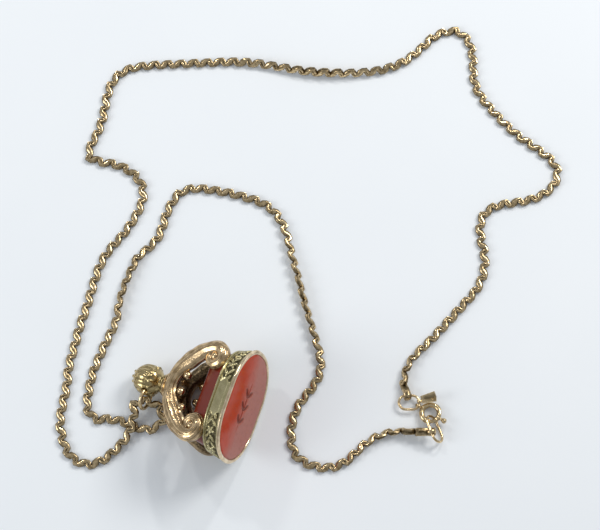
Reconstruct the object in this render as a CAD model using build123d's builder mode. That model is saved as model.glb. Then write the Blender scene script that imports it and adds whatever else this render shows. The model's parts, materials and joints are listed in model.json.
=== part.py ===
"""A gold fob seal on a long chain of flat S links, closed by a spring ring, lying on a table.

Millimetres and degrees. +Z is up from the table, which is z = 0, and the origin is under the middle of
the whole necklace. The seal's own pieces stand on seal_plane: its z runs out of the stone's table along
the seal's axis, x along the long way of the table, and y up and away from the floor.
"""
import os
from math import acos, asin, atan2, cos, degrees, hypot, radians, sin, tan

from build123d import *

# Stone: a block with a flat table above a bevel, tapering towards the handle
table_length = 25.2
table_breadth = 20.6
table_corner = 9.7
girdle_length = 26.4
girdle_breadth = 21.8
girdle_corner = 10.0
girdle_depth = 0.5
stone_waist_length = 23.9
stone_waist_breadth = 17.4
stone_waist_corner = 8.2
stone_back_length = 22.0
stone_back_breadth = 11.8
stone_back_corner = 5.0
stone_depth = 9.6
stone_fit = 0.1

# Setting: bezel and chased band
face_length = 27.8
face_breadth = 23.2
face_corner = 10.8
bezel_depth = 1.2
bezel_round = 0.4
lip_overlap = 0.35
band_step = 0.5
band_depth = 4.9
band_rear_length = 24.9
band_rear_breadth = 19.6
band_rear_corner = 9.2
rear_rim = 0.25
rear_rim_depth = 0.5

# Scrolls that carry the handle, one above and one below the stone
scroll_wire = 1.6
scroll_radius = 11.2
scroll_apex = 17.8
scroll_height = 4.75
scroll_lean = 14.0
volute_radius = 2.4
volute_station = 9.7
volute_turn = 200.0
volute_eye_radius = 1.35
volute_eye_depth = 1.8
granule_radius = 0.95
granule_sink = 0.2
granule_angles = (-38.0, -9.0, 20.0)
saddle_length = 12.0
saddle_breadth = 7.0
saddle_depth = 1.7
collar_radius = 3.4
collar_station = 21.2
shank_radius = 1.5
shank_length = 2.4
shank_fit = 0.06

# Handle knob and the ring through it
knob_radius = 3.9
knob_station = 26.0
knob_foot_radius = 2.5
knob_foot_gap = 0.08
knob_petals = 6
petal_radius = 0.8
petal_circle = 2.8
petal_station = 2.55
knob_root = 1.95
eye_station = 25.2
eye_offset = 1.95
eye_fit = 0.25
pendant_ring_radius = 2.6
pendant_ring_wire = 0.4

# Engraving in the table: a plain sprig
engraving_depth = 0.3
sprig_length = 13.0
sprig_stem = 0.5
leaf_length = 3.4
leaf_breadth = 1.3
leaf_pairs = 3
leaf_angle = 50.0
leaf_reach = 1.15

# How the seal lies
seal_x = -16.56
seal_y = -43.5
seal_heading = -18.82

# Chain of S links
strip_width = 0.5
strip_depth = 0.9
hook_radius = 0.82
tip_length = 0.22
link_pitch = 3.4
roll_clear = 0.13
rest_gap = 0.05

# Clasp
clasp_x = 28.5
clasp_y = -43.2
clasp_radius = 2.15
clasp_tube = 0.65
clasp_bore = 0.45
clasp_lean = 10.0
clasp_rise = -66.0
bolt_fit = 0.06
gap_start = -92.0
gap_end = -58.0
bore_end = 34.0
socket_depth = 8.0
bolt_tail = 12.0
lever_angle = -32.0
lever_width = 0.55
lever_length = 1.7
lever_throw = 40.0
lever_margin = 11.0
lever_head_radius = 0.41
lever_head_width = 0.77
lug_angle = 150.0
lug_radius = 0.9
lug_hole = 0.52
lug_width = 0.5
lug_lift = 0.62
lug_sink = 0.36
ring_wire = 0.26
long_ring_length = 5.0
long_ring_breadth = 3.4
short_ring_length = 6.76
short_ring_breadth = 3.48
short_ring_heading = -68.9
short_ring_pitch = 2.8
short_ring_tilt = 47.0
short_ring_angle = -85.0
short_ring_grip = 1.37
short_ring_lift = 0.17
short_hold = 0.5
tag_length = 4.4
tag_breadth = 1.8
tag_flare = 2.6
tag_depth = 0.35
tag_angle = 10.0
tag_slope = 22.0
tag_side = 0.25
barrel_radius = 0.6
barrel_bore = 0.38
barrel_length = 0.7

# Chosen points of the chain's route on the table: x, y, roll about its length, lift above the floor.
# First the long strand, then the joints of the turn through the pendant ring, then the short strand.
chain_route = [
    [
        (22.1, -36.6, 76, 0), (22.5, -32.8, 56, 0), (24.6, -29.2, 34, 0),
        (28.8, -25.1, 14, 0.06), (33.0, -20.6, 0, 0), (36.9, -16.3, 0, 0), (40.7, -11.9, 0, 0),
        (42.5, -7.6, 0, 0), (42.8, -3.2, 0, 0), (42.0, 1.2, 0, 0), (42.0, 5.2, 0, 0),
        (43.7, 8.2, 0, 0), (47.0, 9.8, 0, 0), (52.1, 10.6, 0, 0), (56.7, 11.9, 0, 0),
        (60.4, 14.5, 0, 0), (61.9, 18.2, 0, 0), (60.4, 21.6, 0, 0), (56.6, 24.8, 0, 0),
        (52.6, 27.8, 0, 0), (48.9, 31.3, 0, 0), (45.7, 35.0, 0, 0), (42.7, 39.1, 0, 0),
        (41.3, 43.1, 0, 0), (41.2, 47.8, 0, 0), (40.7, 52.1, 0, 0), (38.8, 55.7, 0, 0),
        (35.7, 56.5, 0, 0), (31.8, 55.4, 0, 0), (28.9, 52.7, 0, 0), (25.8, 49.9, 0, 0),
        (22.4, 47.5, 12, 0.04), (17.2, 45.6, 32, 0), (10.8, 44.8, 56, 0), (4.4, 44.8, 72, 0),
        (-2.1, 45.3, 72, 0), (-8.5, 46.4, 54, 0), (-14.9, 47.5, 32, 0.04), (-21.4, 48.0, 10, 0.05),
        (-27.8, 47.8, 0, 0), (-34.2, 47.5, 0, 0), (-40.6, 47.2, 0, 0), (-46.5, 46.4, 0, 0),
        (-50.3, 44.2, 0, 0), (-52.3, 40.4, 0, 0), (-53.2, 35.6, 0, 0), (-54.1, 31.0, 0, 0),
        (-55.7, 27.0, 0, 0), (-57.4, 23.4, 0, 0), (-54.3, 21.3, 0, 0), (-49.5, 20.3, 0, 0),
        (-45.4, 17.9, 0, 0), (-43.0, 14.2, 0, 0), (-43.2, 10.3, 0, 0), (-45.1, 6.1, 0, 0),
        (-48.0, 1.7, 0, 0), (-51.1, -1.9, 0, 0), (-53.3, -6.0, 0, 0), (-54.9, -11.2, 0, 0),
        (-56.2, -16.3, 0, 0), (-57.8, -21.3, 0, 0), (-58.9, -26.1, 0, 0), (-60.2, -31.4, 0, 0),
        (-60.6, -36.6, 0, 0), (-61.6, -41.8, 0, 0), (-61.9, -46.0, 0, 0), (-60.9, -50.2, 0, 0),
        (-59.2, -53.6, 0, 0), (-55.8, -55.6, 0, 0), (-52.1, -55.1, 0, 0.04), (-48.9, -52.8, 0, 0.3),
        (-46.3, -50.2, 0, 0.8), (-44.6, -47.5, 0, 1.3),
    ],
    [
        (-44.6, -47.5, 0, 1.3), (-43.8, -44.3, 0, 1.9), (-43.5, -41.0, 0, 2.5), (-40.2, -40.6, 0, 2.6),
        (-37.3, -42.3, 0, 2.1), (-37.1, -45.7, 0, 1.2), (-40.2, -47.3, 0, 0.45), (-43.5, -46.5, 0, 0.1),
        (-46.7, -45.2, 0, 0),
    ],
    [
        (-46.7, -45.2, 0, 0), (-49.5, -44.6, 0, 0), (-52.7, -44.5, 0, 0), (-55.2, -44.5, 0, 0),
        (-55.4, -41.5, 0, 0), (-55.2, -37.9, 0, 0), (-54.2, -32.9, 0, 0), (-52.6, -28.7, 0, 0),
        (-50.8, -24.4, 0, 0), (-48.9, -20.6, 20, 0), (-48.3, -16.3, 38, 0), (-47.2, -11.7, 45, 0),
        (-45.5, -7.3, 32, 0.07), (-43.6, -3.5, 15, 0.15), (-40.9, -1.1, 0, 0.06), (-38.5, 2.0, 0, 0),
        (-37.3, 6.4, 0, 0), (-35.8, 10.0, 0, 0), (-33.4, 13.2, 0, 0), (-29.6, 14.2, 0, 0),
        (-25.6, 13.7, 0, 0), (-21.0, 12.9, 0, 0), (-16.5, 11.6, 0, 0), (-12.2, 10.0, 0, 0),
        (-8.6, 6.4, 8, 0), (-6.6, 1.7, 24, 0), (-5.4, -3.5, 42, 0), (-3.8, -9.1, 58, 0),
        (-2.6, -14.2, 65, 0), (-1.1, -19.3, 58, 0), (0.4, -24.4, 42, 0), (1.6, -28.9, 24, 0.07),
        (1.6, -33.2, 8, 0.08), (-0.4, -36.9, 0, 0), (-3.3, -40.6, 0, 0), (-5.1, -44.8, 0, 0),
        (-5.5, -49.2, 0, 0), (-4.6, -53.1, 0, 0), (-1.4, -55.6, 0, 0), (3.0, -56.5, 0, 0),
        (6.8, -55.6, 6, 0), (10.0, -53.0, 16, 0), (13.0, -50.3, 28, 0), (16.4, -48.5, 40, 0),
        (19.8, -47.7, 53, 0), (22.6, -47.7, 66, 0.1), (25.2, -48.0, 80, 0.7),
    ],
]
long_route, loop_joints, short_route = chain_route

# Places that follow from the sizes above
face_half = face_breadth / 2
rest_span = knob_station - bezel_depth
rest_reach = hypot(face_half, rest_span)
seal_tilt = degrees(acos(knob_radius / rest_reach)) - degrees(atan2(rest_span, face_half))
face_height = face_half * cos(radians(seal_tilt)) + bezel_depth * sin(radians(seal_tilt))
seal_axis = Vector(
    cos(radians(seal_tilt)) * cos(radians(seal_heading)),
    cos(radians(seal_tilt)) * sin(radians(seal_heading)),
    sin(radians(seal_tilt)),
)
seal_across = Vector(-sin(radians(seal_heading)), cos(radians(seal_heading)), 0)
seal_plane = Plane(
    origin=(seal_x, seal_y, face_height + rest_gap),
    x_dir=seal_across,
    z_dir=seal_axis,
)


# Stone block: four rounded sections, then the sprig cut into its table
def stone_block(grow):
    """The stone's bevelled and tapered block, larger all round by grow."""
    sections = (
        (0, table_length, table_breadth, table_corner),
        (girdle_depth, girdle_length, girdle_breadth, girdle_corner),
        (band_depth, stone_waist_length, stone_waist_breadth, stone_waist_corner),
        (stone_depth + grow, stone_back_length, stone_back_breadth, stone_back_corner),
    )
    with BuildPart() as block:
        for station, length, breadth, corner in sections:
            with BuildSketch(seal_plane.offset(-station)):
                RectangleRounded(length + 2 * grow, breadth + 2 * grow, corner)
        loft(ruled=True)
    return block.part


with BuildPart() as carnelian_stone:
    add(stone_block(0))
    with BuildSketch(seal_plane):
        SlotOverall(sprig_length, sprig_stem)
        for pair in range(leaf_pairs):
            station = (pair - (leaf_pairs - 1) / 2) * sprig_length / (leaf_pairs + 1)
            for side in (-1, 1):
                with Locations(Location((station, side * leaf_reach, 0), (0, 0, side * leaf_angle))):
                    Ellipse(leaf_length / 2, leaf_breadth / 2)
    extrude(amount=-engraving_depth, mode=Mode.SUBTRACT)


# Setting: collet, scrolls, granules, saddle and collar, soldered into one
def scroll_plane(side):
    """The leaning plane of one scroll: x across the seal, y from its apex towards the stone."""
    start = seal_plane.from_local_coords(Vector(0, side * scroll_height, -scroll_apex))
    lean = radians(scroll_lean)
    forward = seal_plane.z_dir * cos(lean) + seal_plane.y_dir * (side * sin(lean))
    return Plane(origin=start, x_dir=seal_plane.x_dir, z_dir=seal_plane.x_dir.cross(forward))


def point_at(radius, angle):
    """The point at a radius and an angle in degrees."""
    return radius * cos(radians(angle)), radius * sin(radians(angle))


volute_across = (
    (scroll_radius - volute_radius) ** 2 - (volute_station - scroll_radius) ** 2
) ** 0.5
touch_angle = degrees(atan2(volute_station - scroll_radius, volute_across))

with BuildPart() as seal_setting:
    # Bezel and the band behind it
    with BuildSketch(seal_plane):
        RectangleRounded(face_length, face_breadth, face_corner)
    extrude(amount=-bezel_depth)
    fillet(seal_setting.edges().group_by(SortBy.LENGTH)[-1], bezel_round)
    with BuildSketch(seal_plane.offset(-bezel_depth)):
        RectangleRounded(face_length - 2 * band_step, face_breadth - 2 * band_step, face_corner)
    with BuildSketch(seal_plane.offset(-band_depth)):
        RectangleRounded(band_rear_length, band_rear_breadth, band_rear_corner)
    loft(ruled=True)
    with BuildSketch(seal_plane.offset(-band_depth)):
        RectangleRounded(
            band_rear_length + 2 * rear_rim, band_rear_breadth + 2 * rear_rim, band_rear_corner
        )
    extrude(amount=rear_rim_depth)
    # Two scrolls, each a half round with a volute at either end and granules inside it
    for side in (1, -1):
        lie = scroll_plane(side)
        with BuildLine(lie) as spine:
            CenterArc((0, scroll_radius), scroll_radius, 180 - touch_angle, 180 + 2 * touch_angle)
            CenterArc((volute_across, volute_station), volute_radius, touch_angle, volute_turn)
            CenterArc((-volute_across, volute_station), volute_radius, 180 - touch_angle, -volute_turn)
        start = spine.wires()[0]
        with BuildSketch(Plane(origin=start @ 0, z_dir=start % 0)):
            Circle(scroll_wire)
        sweep(path=start)
        with BuildSketch(lie):
            with Locations((volute_across, volute_station), (-volute_across, volute_station)):
                Circle(volute_eye_radius)
        extrude(amount=volute_eye_depth / 2, both=True)
        for angle in granule_angles:
            x, y = point_at(scroll_radius - scroll_wire - granule_radius + granule_sink, angle - 90)
            with Locations(lie.from_local_coords(Vector(x, y + scroll_radius, 0))):
                Sphere(granule_radius)
    # Saddle between the scrolls, and the collar that takes the handle
    with BuildSketch(seal_plane.offset(-scroll_apex + saddle_depth / 2)):
        Ellipse(saddle_breadth / 2, saddle_length / 2)
    extrude(amount=-saddle_depth)
    with BuildSketch(seal_plane.offset(-scroll_apex)):
        Circle(collar_radius)
    extrude(amount=-(collar_station - scroll_apex))
    # Room for the stone, and the mouth over its table
    add(stone_block(stone_fit), mode=Mode.SUBTRACT)
    with BuildSketch(seal_plane.offset(girdle_depth)):
        RectangleRounded(
            girdle_length - 2 * lip_overlap, girdle_breadth - 2 * lip_overlap, girdle_corner
        )
    extrude(amount=-2 * girdle_depth, mode=Mode.SUBTRACT)
    # Socket for the handle's shank
    with BuildSketch(seal_plane.offset(-collar_station)):
        Circle(shank_radius + shank_fit)
    extrude(amount=shank_length + shank_fit, mode=Mode.SUBTRACT)

# Knob: a bulb on a foot and shank, petals round its end, and a curved eye bored through
knob_plane = seal_plane.offset(-knob_station)
ring_centre = eye_offset + pendant_ring_radius
ring_plane = Plane(
    origin=seal_plane.from_local_coords(Vector(-ring_centre, 0, -eye_station)),
    x_dir=seal_plane.x_dir,
    z_dir=seal_plane.z_dir,
)
with BuildPart() as handle_knob:
    with Locations(knob_plane):
        Sphere(knob_radius)
        with PolarLocations(petal_circle, knob_petals):
            with Locations((0, 0, -petal_station)):
                Sphere(petal_radius)
    with BuildSketch(seal_plane.offset(-collar_station - knob_foot_gap)):
        Circle(knob_foot_radius)
    extrude(amount=-(knob_station - collar_station - knob_foot_gap - knob_root))
    with BuildSketch(seal_plane.offset(-collar_station + shank_length)):
        Circle(shank_radius)
    extrude(amount=-shank_length - knob_root)
    with Locations(ring_plane):
        Torus(pendant_ring_radius, pendant_ring_wire + eye_fit, mode=Mode.SUBTRACT)

with BuildPart() as pendant_ring:
    with Locations(ring_plane):
        Torus(pendant_ring_radius, pendant_ring_wire)


# Clasp: a hollow ring with a gap, a bolt that slides inside it, and an eye
clasp_normal = Vector(
    -sin(radians(clasp_lean)) * cos(radians(clasp_rise)),
    -sin(radians(clasp_lean)) * sin(radians(clasp_rise)),
    cos(radians(clasp_lean)),
)
clasp_plane = Plane(
    origin=(clasp_x, clasp_y, clasp_tube + clasp_radius * sin(radians(clasp_lean)) + rest_gap),
    x_dir=Vector(0, 1, 0).cross(clasp_normal),
    z_dir=clasp_normal,
)


def ring_section(angle):
    """The plane across the clasp's tube at an angle: x outwards, y up."""
    centre = clasp_plane.from_local_coords(Vector(*point_at(clasp_radius, angle)))
    out = clasp_plane.x_dir * cos(radians(angle)) + clasp_plane.y_dir * sin(radians(angle))
    return Plane(origin=centre, x_dir=out, z_dir=out.cross(clasp_plane.z_dir))


# Where the oval rings lie: the long strand's is level and runs through the clasp's eye, and the short
# strand's is tilted, with one limb over the clasp's bolt and the other under it
lug_reach = clasp_tube + lug_radius - lug_sink
lug_centre = ring_section(lug_angle).from_local_coords(Vector(lug_reach, lug_lift, 0))
turn = long_ring_breadth / 2
long_ring_end = lug_centre - Vector(*point_at(turn, lug_angle - 180))
long_ring_plane = Plane(origin=long_ring_end - Vector((long_ring_length - long_ring_breadth) / 2, 0, 0))
short_ring_way = Vector(*point_at(1, short_ring_heading)) + Vector(0, 0, tan(radians(short_ring_pitch)))
short_ring_way = short_ring_way.normalized()
short_ring_side = Vector(*point_at(1, short_ring_heading + 90))
short_ring_up = short_ring_way.cross(short_ring_side)
short_ring_grasp = clasp_plane.from_local_coords(Vector(*point_at(clasp_radius, short_ring_angle)))
short_ring_plane = Plane(
    origin=short_ring_grasp
    + short_ring_way * (short_ring_length / 2 - short_ring_grip)
    + Vector(0, 0, short_ring_lift),
    x_dir=short_ring_way,
    z_dir=short_ring_up * cos(radians(short_ring_tilt))
    + short_ring_side * sin(radians(short_ring_tilt)),
)


# Chain
def rest_height(roll):
    """How high a link's middle is when it rests on the floor at a roll about its length."""
    width = 2 * hook_radius + strip_width
    half = (width / 2 + roll_clear) * abs(sin(radians(roll))) + strip_depth / 2 * abs(cos(radians(roll)))
    return half + rest_gap


def curve_through(points, steps=12):
    """Dense points on a smooth curve through waypoints, each a tuple of numbers."""
    ends = [points[0]] + list(points) + [points[-1]]
    dense = []
    for before, a, b, after in zip(ends, ends[1:], ends[2:], ends[3:]):
        for step in range(steps):
            t = step / steps
            weights = (
                (-t + 2 * t**2 - t**3) / 2,
                (2 - 5 * t**2 + 3 * t**3) / 2,
                (t + 4 * t**2 - 3 * t**3) / 2,
                (-(t**2) + t**3) / 2,
            )
            dense.append(
                tuple(sum(w * p[k] for w, p in zip(weights, (before, a, b, after))) for k in range(len(a)))
            )
    return dense + [tuple(points[-1])]


def pace(dense, chord):
    """The joints met by walking along dense points in straight steps of one chord."""
    joints, here = [dense[0]], dense[0]
    for a, b in zip(dense, dense[1:]):
        while (Vector(*b[:3]) - Vector(*here[:3])).length >= chord:
            near, far = 0.0, 1.0
            for _ in range(30):
                mid = (near + far) / 2
                trial = tuple(p + (q - p) * mid for p, q in zip(a, b))
                if (Vector(*trial[:3]) - Vector(*here[:3])).length < chord:
                    near = mid
                else:
                    far = mid
            here = trial
            joints.append(here)
    return joints


def place_at(x, y, roll, lift):
    """A joint's x, y, z and roll, from its lift above where a link rests."""
    return x, y, rest_height(roll) + max(lift, 0), roll


def joints_along(points):
    """Joints from the first waypoint to the last, with as many equal links as come nearest the pitch."""
    dense = [place_at(*point) for point in curve_through(points)]
    count = len(pace(dense, link_pitch))
    low, high = link_pitch * 0.95, link_pitch * 1.06
    for _ in range(40):
        chord = (low + high) / 2
        if len(pace(dense, chord)) > count:
            low = chord
        else:
            high = chord
    joints = pace(dense, low)[:count]
    return joints + [dense[-1]]


def link_plane(start, end):
    """The plane of one link: x from joint to joint, z its broad side, turned by the mean roll."""
    along = (Vector(*end[:3]) - Vector(*start[:3])).normalized()
    side = Vector(0, 0, 1).cross(along).normalized()
    roll = radians((start[3] + end[3]) / 2)
    broad = along.cross(side) * cos(roll) + side * sin(roll)
    return Plane(origin=start[:3], x_dir=along, z_dir=broad)


def bend_angle(plane, other_along):
    """The angle in a link's plane of the line that halves the corner with its neighbour."""
    half = plane.x_dir + other_along
    return degrees(atan2(half.dot(plane.y_dir), half.dot(plane.x_dir)))


def s_link(plane, chord, turn_start, turn_end, eye_start=False, eye_end=False):
    """One link bent from flat strip: a hook, a slanting bar and a hook the other way round.

    The hooks' middles lie half a hook radius inside the joints, so that neighbouring tips each stand in
    the middle of the other's hook. An end link has a closed eye in place of a hook.
    """
    inner, outer = hook_radius - strip_width / 2, hook_radius + strip_width / 2
    start_arm, end_arm = Vector(*point_at(1, turn_start)), Vector(*point_at(1, turn_end))
    first = Vector(0, 0) if eye_start else start_arm * (hook_radius / 2)
    last = Vector(chord, 0) if eye_end else Vector(chord, 0) - end_arm * (hook_radius / 2)
    span = last - first
    slope = degrees(atan2(span.Y, span.X)) + degrees(asin(2 * hook_radius / span.length))
    start_sweep, end_sweep = slope - turn_start + 90, slope - turn_end + 90
    with BuildPart() as link:
        with BuildSketch(plane):
            with BuildLine():
                sides = []
                for start_radius, end_radius in ((outer, inner), (inner, outer)):
                    tip = first + Vector(*point_at(start_radius, turn_start + 180))
                    top = tip + Vector(*point_at(tip_length, turn_start + 90))
                    near = first + Vector(*point_at(start_radius, slope - 90))
                    far = last + Vector(*point_at(end_radius, slope + 90))
                    foot = last + Vector(*point_at(end_radius, turn_end))
                    bottom = foot + Vector(*point_at(tip_length, turn_end - 90))
                    Line(top, tip)
                    CenterArc(first, start_radius, turn_start + 180, start_sweep)
                    Line(near, far)
                    CenterArc(last, end_radius, slope + 90, -end_sweep)
                    Line(foot, bottom)
                    sides.append((top, bottom))
                Line(sides[0][0], sides[1][0])
                Line(sides[0][1], sides[1][1])
            make_face()
            for middle, closed in ((first, eye_start), (last, eye_end)):
                if closed:
                    with Locations(middle):
                        Circle(outer)
                        Circle(inner, mode=Mode.SUBTRACT)
        extrude(amount=strip_depth / 2, both=True)
    return link.part


def strand(joints, eye_start=False, eye_end=False, before=None, after=None):
    """The loose links between joints, hooked into each other, as a list of solids."""
    planes = [link_plane(a, b) for a, b in zip(joints, joints[1:])]
    ways = [before] + [plane.x_dir for plane in planes] + [after]
    links = []
    for index, plane in enumerate(planes):
        start_way, end_way = ways[index] or plane.x_dir, ways[index + 2] or plane.x_dir
        chord = (Vector(*joints[index + 1][:3]) - Vector(*joints[index][:3])).length
        links.append(
            s_link(
                plane,
                chord,
                bend_angle(plane, start_way),
                bend_angle(plane, end_way),
                eye_start and index == 0,
                eye_end and index == len(planes) - 1,
            )
        )
    return links


# Where the end links' eyes hold the oval rings
long_hold = long_ring_plane.from_local_coords(
    Vector(-(long_ring_length - long_ring_breadth) / 2 + strip_depth / 3, turn, 0)
)
short_hold_point = short_ring_plane.from_local_coords(Vector(short_hold, -short_ring_breadth / 2, 0))
eye_height = rest_height(90)

loop_places = [place_at(*joint) for joint in loop_joints]
meeting = len(loop_places) // 2
long_start = (long_hold.X, long_hold.Y, 90, long_hold.Z - eye_height)
short_end = (short_hold_point.X, short_hold_point.Y, 90, short_hold_point.Z - eye_height)
long_joints = joints_along([long_start] + long_route) + loop_places[1 : meeting + 1]
short_joints = loop_places[meeting:-1] + joints_along(short_route + [short_end])
long_way = link_plane(long_joints[-2], long_joints[-1]).x_dir
short_way = link_plane(short_joints[0], short_joints[1]).x_dir

with BuildPart() as chain_long:
    add(strand(long_joints, eye_start=True, after=short_way))

with BuildPart() as chain_short:
    add(strand(short_joints, eye_end=True, before=long_way))


clasp_axis = Axis(clasp_plane.origin, clasp_plane.z_dir)

with BuildPart() as spring_ring:
    with BuildSketch(ring_section(gap_end)):
        Circle(clasp_tube)
    revolve(axis=clasp_axis, revolution_arc=360 + gap_start - gap_end)
    # Eye for the long strand's oval ring
    with BuildSketch(ring_section(lug_angle)):
        with Locations((lug_reach, lug_lift)):
            Circle(lug_radius)
    extrude(amount=lug_width / 2, both=True)
    with BuildSketch(ring_section(lug_angle)):
        with Locations((lug_reach, lug_lift)):
            Circle(lug_hole)
    extrude(amount=lug_width, both=True, mode=Mode.SUBTRACT)
    # Bore for the bolt, its socket across the gap, and the slot for the lever
    with BuildSketch(ring_section(gap_end)):
        Circle(clasp_bore)
    revolve(axis=clasp_axis, revolution_arc=bore_end - gap_end, mode=Mode.SUBTRACT)
    with BuildSketch(ring_section(gap_start)):
        Circle(clasp_bore)
    revolve(axis=clasp_axis, revolution_arc=-socket_depth, mode=Mode.SUBTRACT)
    with BuildSketch(ring_section(lever_angle - lever_margin)):
        with Locations((clasp_tube / 2, 0)):
            Rectangle(clasp_tube * 1.5, lever_width + 2 * bolt_fit)
    revolve(axis=clasp_axis, revolution_arc=lever_throw + 2 * lever_margin, mode=Mode.SUBTRACT)

bolt_radius = clasp_bore - bolt_fit
with BuildPart() as clasp_bolt:
    with BuildSketch(ring_section(gap_start - socket_depth / 2)):
        Circle(bolt_radius)
    revolve(axis=clasp_axis, revolution_arc=lever_angle + bolt_tail - gap_start + socket_depth / 2)
    with BuildSketch(ring_section(lever_angle)):
        with Locations((lever_length / 2, 0)):
            Rectangle(lever_length, lever_width)
    extrude(amount=lever_width / 2, both=True)
    with BuildSketch(ring_section(lever_angle)):
        with Locations((lever_length, 0)):
            Circle(lever_head_radius)
    extrude(amount=lever_head_width / 2, both=True)


# Oval rings and the tag
def oval_ring(plane, length, breadth, wire):
    """A closed oval ring of round wire, its middle line length by breadth."""
    straight, turn = length - breadth, breadth / 2
    with BuildPart() as ring:
        with BuildLine(plane) as line:
            Line((-straight / 2, turn), (straight / 2, turn))
            CenterArc((straight / 2, 0), turn, 90, -180)
            Line((straight / 2, -turn), (-straight / 2, -turn))
            CenterArc((-straight / 2, 0), turn, -90, -180)
        path = line.wires()[0]
        with BuildSketch(Plane(origin=path @ 0, z_dir=path % 0)):
            Circle(wire)
        sweep(path=path)
    return ring.part


with BuildPart() as jump_ring_long:
    add(oval_ring(long_ring_plane, long_ring_length, long_ring_breadth, ring_wire))

with BuildPart() as jump_ring_short:
    add(oval_ring(short_ring_plane, short_ring_length, short_ring_breadth, ring_wire))

# Tag: a flared plate with a rolled end that turns on the long strand's oval ring
tag_across = Vector(*point_at(1, tag_angle + 90))
tag_along = Vector(*point_at(cos(radians(tag_slope)), tag_angle)) + Vector(0, 0, sin(radians(tag_slope)))
tag_centre = long_ring_end + Vector(*point_at(turn, tag_angle))
tag_plane = Plane(origin=tag_centre, x_dir=tag_along, z_dir=tag_along.cross(tag_across))
barrel_plane = Plane(origin=tag_centre, x_dir=tag_along, z_dir=tag_across)
with BuildPart() as clasp_tag:
    with BuildSketch(barrel_plane):
        Circle(barrel_radius)
    extrude(amount=barrel_length / 2, both=True)
    with BuildSketch(tag_plane):
        with BuildLine():
            Polyline(
                (0, tag_side - tag_breadth / 2),
                (tag_length, tag_side - tag_flare / 2),
                (tag_length, tag_side + tag_flare / 2),
                (0, tag_side + tag_breadth / 2),
                close=True,
            )
        make_face()
        with Locations((0, 0)):
            Rectangle(2 * barrel_radius, 2 * tag_breadth, mode=Mode.SUBTRACT)
        with Locations((barrel_radius / 2, 0)):
            Rectangle(barrel_radius * 2, barrel_length)
    extrude(amount=tag_depth / 2, both=True)
    with BuildSketch(barrel_plane):
        Circle(barrel_bore)
    extrude(amount=barrel_length, both=True, mode=Mode.SUBTRACT)

pieces = {
    "carnelian_stone": carnelian_stone,
    "seal_setting": seal_setting,
    "handle_knob": handle_knob,
    "pendant_ring": pendant_ring,
    "chain_long": chain_long,
    "chain_short": chain_short,
    "spring_ring": spring_ring,
    "clasp_bolt": clasp_bolt,
    "jump_ring_long": jump_ring_long,
    "jump_ring_short": jump_ring_short,
    "clasp_tag": clasp_tag,
}
os.makedirs("parts", exist_ok=True)
for label, piece in pieces.items():
    piece.part.label = label
    export_step(piece.part, f"parts/{label}.step")
print("links", len(chain_long.solids()), len(chain_short.solids()), "tilt", round(seal_tilt, 2))
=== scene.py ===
"""A gold fob seal on a long chain of S links, lying closed on a pale table.

Sizes are in millimetres and angles in degrees, and MM turns a size into the frame's metres. The seal's
own points are (u, v, w): u across the table the long way, v up away from the floor, and w out of the
stone's table, which is near w = 0.
"""
import json
import logging
import math
from dataclasses import dataclass
from enum import Enum
from typing import Sequence

import bpy
import numpy as np
from mathutils import Matrix


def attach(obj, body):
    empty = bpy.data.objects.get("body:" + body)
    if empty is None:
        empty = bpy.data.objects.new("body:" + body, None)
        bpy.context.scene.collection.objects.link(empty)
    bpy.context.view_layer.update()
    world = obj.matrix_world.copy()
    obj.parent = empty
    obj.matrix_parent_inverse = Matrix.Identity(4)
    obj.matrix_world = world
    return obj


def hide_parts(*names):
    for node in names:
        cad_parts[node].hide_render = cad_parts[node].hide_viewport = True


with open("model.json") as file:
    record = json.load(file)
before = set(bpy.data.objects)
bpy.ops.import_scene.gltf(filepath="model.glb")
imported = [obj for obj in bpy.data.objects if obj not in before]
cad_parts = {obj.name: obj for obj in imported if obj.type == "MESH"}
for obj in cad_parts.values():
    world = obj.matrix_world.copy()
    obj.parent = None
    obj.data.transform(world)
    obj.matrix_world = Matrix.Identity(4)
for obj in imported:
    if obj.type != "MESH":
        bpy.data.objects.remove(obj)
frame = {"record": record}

Array = np.ndarray
Colour = tuple[float, float, float]
Socket = bpy.types.NodeSocket
LOG = logging.getLogger("necklace")
MM = 0.001
NECKLACE_BODY = "necklace"
BOLT_BODY = "bolt"

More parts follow.
